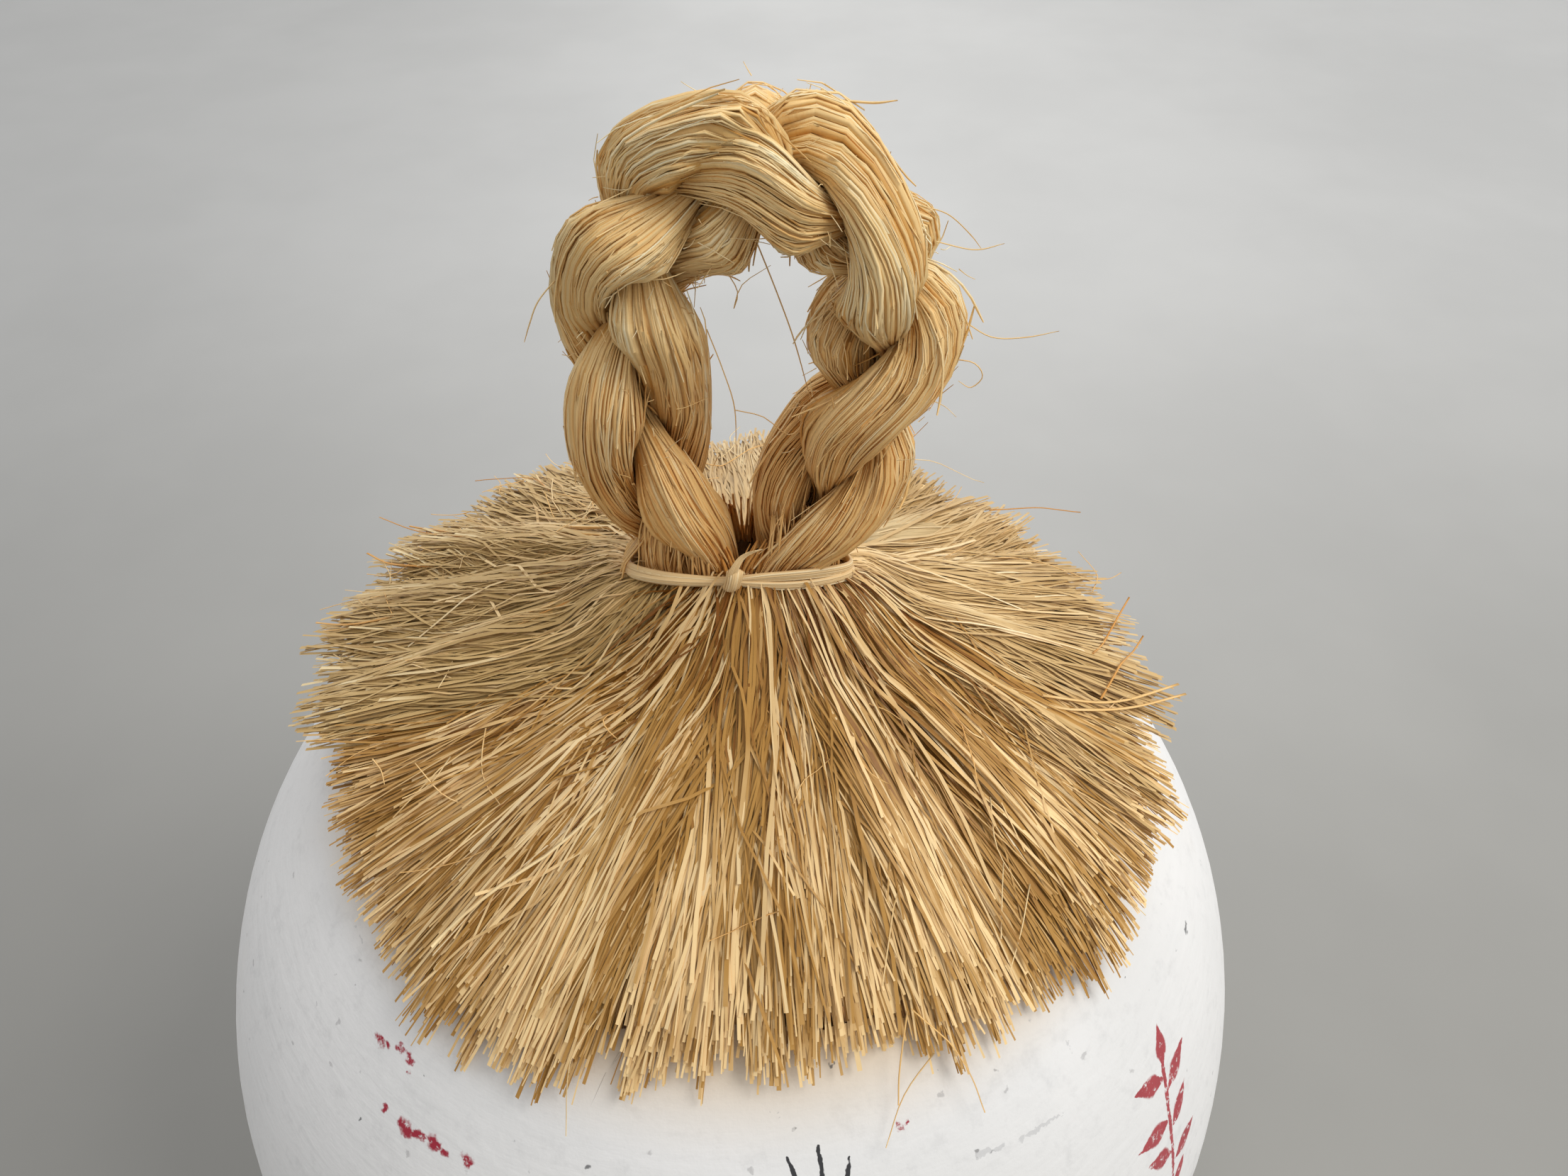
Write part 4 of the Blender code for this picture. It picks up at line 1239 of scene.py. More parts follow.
def build_skirt_core(grid, material):
    """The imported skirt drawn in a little, as the dark inside of the bundle."""
    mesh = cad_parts["hemp_skirt"].data.copy()
    mesh.name = "skirt_core"
    shape = bmesh.new()
    shape.from_mesh(mesh)
    bmesh.ops.remove_doubles(shape, verts=shape.verts, dist=0.001 * MM)
    for corner in shape.verts:
        was = np.array([corner.co.x, corner.co.y])
        away = was - SKIRT_MIDDLE
        reach = float(np.hypot(*away))
        if reach < 1.05 * NECK_HALF_WIDTH:
            corner.co.z = min(corner.co.z, TIE_MIDDLE - 0.9 * MM)
            continue
        turn = math.atan2(away[1], away[0])
        share = reach / float(grid_rim(grid[0], np.array([turn]))[0])
        place = SKIRT_MIDDLE + away * (1.0 - 0.10 * float(ease((share - 0.2) / 0.8)))
        under = on_skirt(grid, place, 0.0)
        top = on_skirt(grid, place)
        was_under = on_skirt(grid, SKIRT_MIDDLE + away, 0.0)
        was_thick = on_skirt(grid, SKIRT_MIDDLE + away) - was_under
        level = min(max((corner.co.z - was_under) / max(was_thick, 0.1 * MM), 0.0), 1.0)
        heading = (math.degrees(turn) - RIM_DEGREES[0]) % 360.0 + RIM_DEGREES[0]
        rise = float(np.interp(heading, LOCK_DEGREES, LOCK_RISES)) * MM * 0.8 * level
        thin = 1.0 - 0.40 * float(ease((share - 0.55) / 0.45))
        corner.co = Vector((*place, under + (top - under) * (0.06 + 0.80 * level * thin) + rise))
    bmesh.ops.recalc_face_normals(shape, faces=shape.faces)
    shape.to_mesh(mesh)
    shape.free()
    core = add_object("skirt_core", mesh)
    mesh.shade_smooth()
    finish_piece(core, material, "hemp_fibre", "hemp_skirt")


# Braid


def loop_middle(share):
    """A point on the middle of the braid, in the plane of the loop."""
    arch = LOOP_HALF_WIDTH
    foot = NECK_HALF_WIDTH / 2 + CLEARANCE / 2
    leg = LOOP_HEIGHT - arch
    leg_length = math.hypot(leg, arch - foot)
    total = 2.0 * leg_length + math.pi * arch
    along = share * total
    if along < leg_length or along > total - leg_length:
        climbed = along if along < leg_length else total - along
        height = leg * climbed / leg_length
        spread = math.sin(0.5 * math.pi * min(height / LEG_SPREAD_HEIGHT, 1.0))
        side = -1.0 if along < leg_length else 1.0
        across = side * (foot + (arch - foot) * spread)
    else:
        angle = (along - leg_length) / arch
        across = -arch * math.cos(angle)
        height = leg + arch * math.sin(angle)
    lean = LOOP_LEAN * float(ease(height / LOOP_HEIGHT))
    return Vector((HANDLE_OFFSET + lean + across, 0.0, TIE_MIDDLE + height))


def loop_course(stations):
    """Evenly spaced points along the loop with the direction towards its eye."""
    fine = [loop_middle(i / LOOP_FINE_STEPS) for i in range(LOOP_FINE_STEPS + 1)]
    reached = [0.0]
    for before, after in zip(fine, fine[1:]):
        reached.append(reached[-1] + (after - before).length)
    course = []
    cursor = 0
    for station in range(stations + 1):
        wanted = reached[-1] * station / stations
        while cursor < LOOP_FINE_STEPS - 1 and reached[cursor + 1] < wanted:
            cursor += 1
        step = reached[cursor + 1] - reached[cursor]
        point = fine[cursor].lerp(fine[cursor + 1], (wanted - reached[cursor]) / step)
        low = fine[max(cursor - 6, 0)]
        high = fine[min(cursor + 7, LOOP_FINE_STEPS)]
        onward = (high - low).normalized()
        upright = Vector((0.0, 0.0, math.copysign(1.0, onward.z)))
        share = float(ease((point.z - TIE_MIDDLE) / TIE_HEIGHT))
        onward = upright.lerp(onward, share).normalized()
        course.append((wanted, reached[-1], point, Vector((onward.z, 0.0, -onward.x))))
    return course


def braid_fullness(share):
    """How full the braid is: fullest on top, and pinched where it leaves the tie."""
    arch = math.sin(math.pi * share) ** 2
    free = float(ease(min(share, 1.0 - share) / TIE_PINCH_SHARE))
    return (1.0 + (TOP_FULLNESS - 1.0) * arch) * (TIE_PINCH + (1.0 - TIE_PINCH) * free)


def braid_progress(along, total):
    """Length along the braid for its winding, which is slack near both ends."""
    if along < SLACK_START:
        return SLACK_START - (SLACK_START - along) * SLACK_RATE
    if along > total - SLACK_END:
        return total - SLACK_END + (along - total + SLACK_END) * SLACK_RATE
    return along


def strand_centre(number, along, total):
    """Middle of one strand in the braid's section: towards the eye, and forward."""
    share = along / total
    progress = (braid_progress(along, total) - total / 2) / BRAID_PITCH
    fullness = braid_fullness(share)
    turn = BRAID_TURN * float(ease((share - TURN_START) / TURN_SPAN))
    phase = BRAID_PHASE + 2.0 * math.pi * (progress + number / 3.0)
    inward = BRAID_HALF_WIDTH * fullness * math.sin(phase)
    forward = -BRAID_HALF_DEPTH * fullness * math.sin(2.0 * phase)
    return (
        inward * math.cos(turn) - forward * math.sin(turn),
        inward * math.sin(turn) + forward * math.cos(turn),
    )


# How finely a packed strand is felt, and how finely its core is made
SKIN_STATIONS = 66
SKIN_ANGLES = 36
CORE_STATIONS = 78
CORE_ANGLES = 72
CORE_DEPTH = 0.10 * MM

# How far fibres wind round a strand from end to end, in radians, and how deep they lie in its skin
STRAND_TWIST = 0.55
FIBRE_SINK = 0.06 * MM
STRAND_NODES = ("braid_strand_first", "braid_strand_second", "braid_strand_third")
FOLDED_STRAND = "braid_strand_third"
RIDGE_SEED = 51
CORE_SEED = 91

# How thick a strand's fibres are against their layer's own width, and how many are so
STRAND_WIDTHS = (0.6, 0.85, 1.1, 1.5)
STRAND_WIDTH_SHARES = (0.3, 0.35, 0.25, 0.1)

# Ridges round a strand: (how many of them, height)
RIDGES = (
    (3, 0.08 * MM), (5, 0.08 * MM), (8, 0.07 * MM), (12, 0.05 * MM), (19, 0.035 * MM), (31, 0.025 * MM),
)


@dataclass
class Strand:
    """A packed strand: its middles, the ways to the eye there, and how far its skin is all round."""

    node: str
    middles: np.ndarray
    inwards: np.ndarray
    skins: np.ndarray
    ridges: list
    folded: bool
    neighbours: np.ndarray = None


def read_strand(number, node):
    """Feels a packed strand from its middle, ring by ring."""
    tree = solid_tree(node)
    middles = []
    inwards = []
    skins = np.zeros((SKIN_STATIONS + 1, SKIN_ANGLES))
    for station, (along, total, point, inward) in enumerate(loop_course(SKIN_STATIONS)):
        in_step, forward_step = strand_centre(number, along, total)
        middle = point + inward * in_step + FORWARD * forward_step
        lifted = middle + Vector((0.0, 0.0, 0.02 * MM)) if station in (0, SKIN_STATIONS) else middle
        for k in range(SKIN_ANGLES):
            angle = 2.0 * math.pi * k / SKIN_ANGLES
            hit = tree.ray_cast(lifted, inward * math.cos(angle) + FORWARD * math.sin(angle), 5.0 * MM)
            skins[station, k] = hit[3] if hit[0] is not None else 0.3 * MM
        middles.append(middle)
        inwards.append(inward)
    ridges = strand_ridges(np.random.default_rng(RIDGE_SEED + number))
    folded = node == FOLDED_STRAND
    return Strand(node, np.array(middles), np.array(inwards), smooth_skin(skins), ridges, folded)


def smooth_skin(skins):
    """Rounds off the flat faces of a packed strand."""
    for _ in range(2):
        skins = 0.25 * np.roll(skins, 1, axis=1) + 0.5 * skins + 0.25 * np.roll(skins, -1, axis=1)
        inner = 0.25 * skins[:-2] + 0.5 * skins[1:-1] + 0.25 * skins[2:]
        skins = np.vstack([skins[:1], inner, skins[-1:]])
    return skins


def strand_ridges(rng):
    """The ridges that a strand's fibres gather in: (how many round it, height, start, drift)."""
    return [(count, height, rng.uniform(0, 6.283), rng.uniform(-0.9, 0.9)) for count, height in RIDGES]


# Where the braid gives a little: (across, height) of the middle, half sizes and shift, in millimetres
BRAID_SETTLING = (
    ((8.5, 23.0), (4.6, 5.0), (-1.0, -1.6)),
    ((1.4, 25.0), (2.4, 3.0), (0.0, 0.6)),
    ((-3.0, 24.0), (3.6, 4.0), (0.1, -0.9)),
    ((-9.0, 18.0), (3.5, 4.5), (0.8, 0.0)),
    ((11.5, 15.0), (3.0, 4.5), (-0.5, 0.0)),
)

# The fold that crosses the third strand on top, as degrees round it and shares of its length
FOLD_DEGREES = (60.0, 90.0, 115.0, 130.0, 165.0, 190.0, 220.0)
FOLD_SHARES = (0.405, 0.435, 0.455, 0.465, 0.500, 0.520, 0.550)
FOLD_RISE = 0.36 * MM
FOLD_SINK = 0.52 * MM
FOLD_STEPS = (0.0, 0.36, 0.62, 1.0)
FOLD_PLACES = (0.0, 0.41, 0.54, 1.0)
LOOP_LENGTH = 52.0 * MM

# How near a neighbour's middle a point lies in the groove between them, which is painted in shade
GROOVE_NEAR = 1.8 * MM
GROOVE_FAR = 2.8 * MM


def settle(points):
    """Points of the braid where it has settled."""
    across = (points[:, 0] - HANDLE_OFFSET) / MM
    height = (points[:, 2] - TIE_MIDDLE) / MM
    moved = np.array(points, float)
    for (right, up), (wide, tall), (shift, drop) in BRAID_SETTLING:
        weight = np.exp(-(((across - right) / wide) ** 2) - ((height - up) / tall) ** 2) * MM
        moved[:, 0] += shift * weight
        moved[:, 2] += drop * weight
    return moved


def overlap(progress, angle):
    """Beside the strand's fold: how far the skin stands off, and how deep in the fold it is."""
    degrees = np.degrees(angle) % 360.0
    past = (progress - np.interp(degrees, FOLD_DEGREES, FOLD_SHARES)) * LOOP_LENGTH
    within = ease((degrees - 62.0) / 25.0) * ease((222.0 - degrees) / 35.0)
    step = ease(past / (0.4 * MM) + 0.5)
    before = FOLD_RISE * np.exp(np.minimum(past, 0.0) / (3.2 * MM))
    after = -FOLD_SINK * np.exp(-np.maximum(past, 0.0) / (2.6 * MM))
    deep = np.exp(-(((past - 0.5 * MM) / (0.7 * MM)) ** 2))
    return (before * (1.0 - step) + after * step) * within, deep * within


def groove_depth(points, others):
    """How deep points lie in the grooves between a strand and its neighbours, 0 to 1."""
    away = np.linalg.norm(points[:, None, :] - others[None, :, :], axis=2).min(axis=1)
    return ease((GROOVE_FAR - away) / (GROOVE_FAR - GROOVE_NEAR))


def strand_points(strand, progress, angle, stand):
    """Points on a strand's ridged skin, how high its ridges are there, and how deep the points lie."""
    stations = progress * SKIN_STATIONS
    low = np.minimum(stations.astype(int), SKIN_STATIONS - 1)
    share = stations - low
    middle = strand.middles[low] * (1 - share)[:, None] + strand.middles[low + 1] * share[:, None]
    inward = strand.inwards[low] * (1 - share)[:, None] + strand.inwards[low + 1] * share[:, None]
    inward /= np.linalg.norm(inward, axis=1)[:, None]
    first, second, blend = ring_place(angle, SKIN_ANGLES)
    near = strand.skins[low, first] * (1 - blend) + strand.skins[low, second] * blend
    far = strand.skins[low + 1, first] * (1 - blend) + strand.skins[low + 1, second] * blend
    ridge = np.zeros(len(progress))
    for count, height, start, drift in strand.ridges:
        turned = count * (angle - STRAND_TWIST * progress)
        ridge += height * np.sin(turned + start + 2.0 * math.pi * drift * progress)
    reach = near * (1 - share) + far * share + ridge + stand - FIBRE_SINK
    direction = inward * np.cos(angle)[:, None] + np.array(FORWARD) * np.sin(angle)[:, None]
    deep = groove_depth(middle + direction * reach[:, None], strand.neighbours)
    if strand.folded:
        stood, in_fold = overlap(progress, angle)
        reach += stood
        deep = np.maximum(deep, in_fold)
    return settle(middle + direction * reach[:, None]), ridge, deep


@dataclass
class StrandLayer:
    """Fibres laid along a strand, proud of its skin by a little.

    With a part, each fibre runs over a share of the strand only, and its ends lift off.
    """

    seed: int
    count: int
    proud: tuple
    half_width: float
    steps: int
    tone: float
    wander: float
    part: tuple = None
    lift: float = 0.0


def strand_routes(strand, layer, seed):
    rng = np.random.default_rng(seed)
    routes = []
    for i in range(layer.count):
        span = rng.uniform(*layer.part) if layer.part else 1.0
        begin = rng.uniform(0.0, 1.0 - span)
        progress = np.linspace(begin, begin + span, layer.steps)
        if strand.folded and not layer.part:
            progress = np.interp(progress, FOLD_STEPS, FOLD_PLACES)
        start = 2.0 * math.pi * (i + rng.uniform(-0.6, 0.6)) / layer.count
        ripple = rng.uniform(0.0, 2.0 * math.pi)
        swing = rng.normal(0.0, layer.wander)
        swing = swing * np.sin(2.0 * math.pi * progress * rng.uniform(0.8, 2.4) + ripple)
        angle = start + STRAND_TWIST * progress + swing
        rise = rng.uniform(*layer.proud) * (0.5 + 0.5 * np.sin(17.0 * progress + ripple))
        within = (progress - begin) / span
        stand = layer.lift * rng.uniform(0.2, 1.0) * (np.maximum(within - 0.7, 0.0) / 0.3) ** 2
        stand = stand + layer.lift * rng.uniform(0.0, 0.6) * (np.maximum(0.25 - within, 0.0) / 0.25) ** 2
        points, ridge, deep = strand_points(strand, progress, angle, rise + stand)
        widths = layer.half_width * rng.choice(STRAND_WIDTHS, p=STRAND_WIDTH_SHARES)
        halves = widths * np.interp(within, (0.0, 0.05, 0.95, 1.0), (0.6, 1.0, 1.0, 0.6))
        # Painted light and shade: fibres on a strand's ridges are painted lighter, those deep in the grooves
        # between strands and in the fold darker
        high = float(np.clip(0.5 + ridge.mean() / (0.2 * MM), 0.0, 1.0))
        own = np.clip(0.40 + layer.tone + 0.22 * high + rng.normal(0.0, 0.16), 0.0, 1.0)
        tone = np.clip(own - 0.18 * deep, 0.0, 1.0)
        routes.append((points, halves, tone, (0.90 + 0.10 * high) * (1.0 - 0.50 * deep)))
    return routes


def build_strand_core(strand, seed, material):
    """The strand's inside: a closed tube of rings just under its fibres."""
    streaks = np.random.default_rng(seed).uniform(0.15, 0.75, CORE_ANGLES)
    shape = bmesh.new()
    tones = shape.verts.layers.float.new("tone")
    alongs = shape.verts.layers.float.new("along")
    levels = shape.verts.layers.float.new("level")
    rings = []
    for station in range(CORE_STATIONS + 1):
        progress = np.full(CORE_ANGLES, station / CORE_STATIONS)
        angle = 2.0 * math.pi * np.arange(CORE_ANGLES) / CORE_ANGLES + STRAND_TWIST * progress
        points, ridge, deep = strand_points(strand, progress, angle, -CORE_DEPTH)
        capped = station in (0, CORE_STATIONS)
        ring = bmesh.ops.create_circle(shape, cap_ends=capped, segments=CORE_ANGLES, radius=1.0)["verts"]
        for k, corner in enumerate(ring):
            corner.co = points[k]
            # Painted light and shade: the core is painted lighter on the ridges and darker deep in the
            # grooves and the fold
            corner[tones] = streaks[k] + 0.12 * ridge[k] / (0.1 * MM) - 0.20 * deep[k]
            corner[alongs] = progress[k]
            corner[levels] = 0.80 * (1.0 - 0.65 * deep[k])
        rings.append({edge for corner in ring for edge in corner.link_edges})
    for before, after in zip(rings, rings[1:]):
        bmesh.ops.bridge_loops(shape, edges=list(before | after))
    bmesh.ops.triangulate(shape, faces=[face for face in shape.faces if len(face.verts) > 4])
    bmesh.ops.recalc_face_normals(shape, faces=shape.faces)
    name = f"{strand.node}_core"
    mesh = bpy.data.meshes.new(name)
    shape.to_mesh(mesh)
    shape.free()
    mesh.shade_smooth()
    finish_piece(add_object(name, mesh), material, "hemp_fibre", strand.node)


# The layers of each strand, from its ground to its loose hairs
STRAND_LAYERS = (
    StrandLayer(
        seed=21, count=84, proud=(-0.04 * MM, 0.03 * MM), half_width=0.130 * MM, steps=56, tone=0.0,
        wander=0.10),
    StrandLayer(
        seed=31, count=60, proud=(0.0, 0.10 * MM), half_width=0.075 * MM, steps=56, tone=0.03,
        wander=0.26),
    StrandLayer(
        seed=81, count=190, proud=(0.04 * MM, 0.14 * MM), half_width=0.06 * MM, steps=12, tone=0.06,
        wander=0.30, part=(0.05, 0.16), lift=0.22 * MM),
    StrandLayer(
        seed=61, count=90, proud=(0.05 * MM, 0.20 * MM), half_width=0.055 * MM, steps=18, tone=0.10,
        wander=0.30, part=(0.10, 0.30), lift=0.9 * MM),
)


def build_braid(materials):
    """Each strand's core and its layers of fibres."""
    strands = [read_strand(number, node) for number, node in enumerate(STRAND_NODES)]
    for number, strand in enumerate(strands):
        others = [other.middles for other in strands if other is not strand]
        strand.neighbours = np.concatenate(others)
        build_strand_core(strand, CORE_SEED + number, materials["strand_combed"])
        routes = []
        for layer in STRAND_LAYERS:
            routes += strand_routes(strand, layer, layer.seed + number)
        fibres = fibre_mesh(f"{strand.node}_fibres", routes, 3, 0.8, "MINIMUM")
        finish_piece(fibres, materials["hemp_braid"], "hemp_fibre", strand.node)


# Tie


# The tie is one flat ribbon wound round twice: (height from the tie's middle, half height, how far
# it stands off the neck) of each turn in millimetres
TIE_TURNS = ((0.24, 0.36, 0.50), (-0.30, 0.31, 0.62))
TIE_STEPS = 72
TIE_THREADS = 5
TIE_SEED = 71
TURN_START_DEGREES = -95.0

# The knot's threads, and the course of the free end from the knot's middle in millimetres
KNOT_MIDDLE = (0.95 * MM, -3.74 * MM, 76.75 * MM)
KNOT_LEAN = math.radians(12.0)
KNOT_THREADS = 8
KNOT_POINTS = 13
KNOT_ARC_DEGREES = 256.0
TAIL_THREADS = 6
TAIL_POINTS = 20
TAIL_COURSE = (
    (-0.10, -0.10, -0.1), (0.00, -0.22, 0.6), (0.20, -0.12, 1.1), (0.50, 0.05, 1.5),
    (0.95, 0.12, 1.8), (1.55, 0.15, 2.0),
)


def tie_turn(offset, stand, number, jitter):
    """One turn of the ribbon, or a thread of it, as points round the neck."""
    points = []
    for step in range(TIE_STEPS + 1):
        share = step / TIE_STEPS
        turn = math.radians(TURN_START_DEGREES) + 2.0 * math.pi * share
        pinch = math.exp(-((min(share, 1.0 - share) / 0.035) ** 2))
        behind = float(ease((math.sin(turn) + 0.35) / 0.6))
        x, y = neck_point(turn, extra=stand * (1.0 - 0.9 * behind) * MM)
        parted = 0.50 + 0.50 * float(ease((x + 3.0 * MM) / (8.0 * MM)))
        wave = 0.06 * MM * math.sin(4.0 * turn + 2.1 * number)
        wave += jitter * MM * math.sin(3.0 * turn + 5.0 * jitter)
        points.append((x, y, float(tie_height(y)) + offset * MM * parted * (1.0 - 0.6 * pinch) + wave))
    return np.array(points)


def ribbon_turns(rng):
    """The ribbon's turns, and the threads that show on them."""
    near_knot = [math.exp(-((min(i, TIE_STEPS - i) / 3.0) ** 2)) for i in range(TIE_STEPS + 1)]
    pinches = np.array([1.0 - 0.25 * near for near in near_knot])
    turns = []
    threads = []
    for number, (offset, half, stand) in enumerate(TIE_TURNS):
        course = tie_turn(offset, stand, number, 0.0)
        turns.append((course, half * 0.40 * MM * pinches, 0.42 + 0.12 * number, 0.9))
        for thread in range(TIE_THREADS):
            across = (thread + 0.5) / TIE_THREADS * 2.0 - 1.0
            proud = stand + 0.10 - 0.05 * across**2
            course = tie_turn(offset + across * half * 0.85, proud, number, rng.uniform(0.02, 0.06))
            halves = rng.uniform(0.045, 0.085) * MM * pinches
            threads.append((course, halves, rng.uniform(0.40, 0.85), 1.0))
    return turns, threads


def knot_threads():
    """The threads of the knot, each an arc that bulges over the ribbon."""
    knot = Vector(KNOT_MIDDLE)
    threads = []
    for number in range(KNOT_THREADS):
        off_middle = number - (KNOT_THREADS - 1) / 2
        arc = []
        for step in range(KNOT_POINTS):
            angle = math.radians(KNOT_ARC_DEGREES * (step / (KNOT_POINTS - 1) - 0.5))
            rise = (0.70 - 0.012 * off_middle**2) * MM * math.sin(angle)
            arc.append((
                knot.x + off_middle * 0.105 * MM + rise * math.tan(KNOT_LEAN),
                knot.y - (0.44 - 0.020 * off_middle**2) * MM * math.cos(angle),
                knot.z + rise,
            ))
        threads.append((np.array(arc), np.full(KNOT_POINTS, 0.085 * MM), 0.48 + 0.16 * (number % 3), 1.0))
    return threads


def tail_threads(rng):
    """The ribbon's free end above the knot, whose threads come together and end unevenly."""
    tail = smooth_route([Vector(KNOT_MIDDLE) + Vector(step) * MM for step in TAIL_COURSE], TAIL_POINTS)
    spread = np.linspace(1.0, 0.25, TAIL_POINTS)[:, None] * np.array([0.085, 0.02, -0.05])
    threads = []
    for number in range(TAIL_THREADS):
        off_middle = number - (TAIL_THREADS - 1) / 2
        end = TAIL_POINTS - int(rng.integers(0, 5))
        course = (tail + spread * off_middle * MM)[:end]
        threads.append((course, np.linspace(0.065, 0.035, end) * MM, 0.45 + 0.12 * (number % 3), 1.0))
    return threads


def build_tie(material):
    """The ribbon's two turns, the knot that stands on them and the free end above it."""
    rng = np.random.default_rng(TIE_SEED)
    turns, threads = ribbon_turns(rng)
    threads += knot_threads()
    threads += tail_threads(rng)
    wraps = fibre_mesh("hemp_tie_turns", turns, 8, 2.4)
    finish_piece(wraps, material, "hemp_ribbon", "hemp_tie")
    tie = fibre_mesh("hemp_tie_knot", threads, 5, 0.8, "MINIMUM")
    finish_piece(tie, material, "hemp_ribbon", "hemp_tie")


NECK_FIBRES = 420
NECK_SEED = 72
NECK_POINTS = 9

# Between the legs, up to this far from the middle, the fibres are shorter and dark. Rises are in
# millimetres, first of the legs' fibres and then of those between them, in front and behind
BETWEEN_LEGS = 1.5 * MM
LEG_RISES = (3.2, 5.4)
FRONT_RISES = (1.6, 2.8)
BACK_RISES = (3.2, 4.8)
LEG_TONES = (0.30, 0.75)
BETWEEN_TONES = (0.0, 0.30)

# A fibre that runs into a leg: (share of its rise, how far it still is from the leg's middle)
LEG_FIBRE_STEPS = ((0.0, 1.0), (0.3, 1.0), (0.65, 0.93), (1.0, 0.74))

# Fibres over the tie: where they cross it as (middle, spread) in degrees, then which way they
# run on in degrees, and how far in millimetres
FIBRES_OVER_TIE = 34
OVER_TIE_POINTS = 16
OVER_TIE_TURN = (-176.0, 9.0)
OVER_TIE_HEADINGS = (-214.0, -172.0)
OVER_TIE_REACHES = (9.0, 13.0)

# A fibre that crosses the tie: (distance from the neck, height over the tie) in millimetres
OVER_TIE_STEPS = ((-0.7, 3.4), (-0.2, 1.9), (0.75, 0.4), (1.2, -0.8))


def fibres_over_tie(grid, rng):
    """Fibres of the braid that cross the left end of the tie and run on into the skirt."""
    routes = []
    for _ in range(FIBRES_OVER_TIE):
        turn = math.radians(rng.normal(*OVER_TIE_TURN))
        corners = []
        for extra, rise in OVER_TIE_STEPS:
            x, y = neck_point(turn, extra=extra * MM)
            corners.append((x, y, float(tie_height(y)) + rise * MM))
        heading = math.radians(rng.uniform(*OVER_TIE_HEADINGS))
        for reach in OVER_TIE_REACHES:
            plan = in_plan(heading, reach * MM)
            corners.append((*plan, on_skirt(grid, plan) + rng.uniform(0.2, 0.5) * MM))
        halves = np.linspace(0.085, 0.06, OVER_TIE_POINTS) * MM * rng.uniform(0.7, 1.2)
        routes.append((smooth_route(corners, OVER_TIE_POINTS), halves, rng.uniform(0.25, 0.6), 0.9))
    return routes


def neck_fibre(rng, x, y):
    """A fibre that comes up out of the tie into a leg, or stands short between the two legs."""
    from_middle = x - HANDLE_OFFSET
    leg = HANDLE_OFFSET + math.copysign(NECK_HALF_WIDTH / 2, from_middle)
    low = float(tie_height(y)) - 1.0 * MM
    between = abs(from_middle) < BETWEEN_LEGS
    rise = rng.uniform(*LEG_RISES) * MM
    if between:
        rise = rng.uniform(*(FRONT_RISES if y < 0.0 else BACK_RISES)) * MM
    twist = rng.normal(0.0, 0.35) * MM
    corners = []
    for share, drawn in LEG_FIBRE_STEPS:
        across = leg + (x - leg) * drawn + twist * share
        deep = y * drawn
        if between:
            apart = 0.9 * MM if y < 0.0 else 0.2 * MM
            across = x + math.copysign(apart, from_middle) * share**2 + 0.5 * twist * share
            deep = y * (1.0 - 0.35 * share)
        corners.append((across, deep, low + rise * share))
    tone = rng.uniform(*(BETWEEN_TONES if between else LEG_TONES))
    halves = np.linspace(0.11, 0.07, NECK_POINTS) * MM * rng.uniform(0.6, 1.2)
    return smooth_route(corners, NECK_POINTS), halves, tone, 0.8


def build_neck_fibres(material, grid):
    """The strands' own fibres where they come up out of the tie."""
    rng = np.random.default_rng(NECK_SEED)
    routes = []
    for number in range(NECK_FIBRES):
        turn = rng.uniform(0.0, 2.0 * math.pi)
        if number % 5 == 0:
            turn = math.copysign(math.pi / 2, number % 10 - 3) + rng.normal(0.0, 0.22)
        routes.append(neck_fibre(rng, *neck_point(turn, rng.uniform(0.80, 0.99))))
    routes += fibres_over_tie(grid, rng)
    fibres = fibre_mesh("neck_fibres", routes, 3, 0.8, "MINIMUM")
    finish_piece(fibres, material, "hemp_fibre")


# Stray hairs: each is (half width, points) in millimetres, with heights from the ball's middle
STRAY_HAIRS = (
    (0.045, ((2.4, 0.4, 58.9), (3.3, 0.0, 56.6), (4.1, -0.2, 54.2), (4.9, -0.3, 51.0))),
    (0.040, ((0.0, -0.4, 55.0), (0.7, -1.0, 53.2), (1.2, -1.0, 51.0), (1.2, -1.0, 48.4))),
    (0.035, ((-0.3, 0.2, 58.3), (0.9, -0.2, 57.9), (1.5, -0.5, 57.0), (1.3, -0.4, 56.1),
      (1.7, -0.2, 57.2), (3.0, 0.1, 58.0))),
    (0.035, ((1.2, -0.3, 50.4), (2.6, -0.6, 50.2), (3.8, -0.7, 49.2), (4.6, -0.6, 49.8),
      (5.3, -0.2, 50.7), (3.7, -0.4, 50.5))),
    (0.040, ((11.9, -0.5, 55.5), (13.2, -0.9, 54.9), (14.7, -1.1, 55.0), (16.2, -1.2, 55.4))),
    (0.075, ((5.2, 0.4, 65.3), (6.4, 0.7, 65.1), (7.4, 0.8, 65.0), (8.3, 0.8, 65.1))),
    (0.045, ((-6.4, -0.8, 58.0), (-7.4, -1.3, 57.0), (-7.9, -1.5, 56.0), (-8.3, -1.5, 55.0))),
    (0.040, ((11.2, -1.0, 53.8), (12.4, -1.5, 53.9), (12.9, -1.6, 53.2), (12.4, -1.6, 52.6),
      (11.8, -1.5, 52.9))),
    (0.040, ((9.6, 0.6, 60.6), (10.9, 1.0, 60.0), (12.0, 1.1, 59.0), (12.6, 1.0, 58.3))),
    (0.040, ((10.4, 0.4, 59.0), (12.2, 0.6, 58.5), (13.5, 0.6, 58.8))),
)

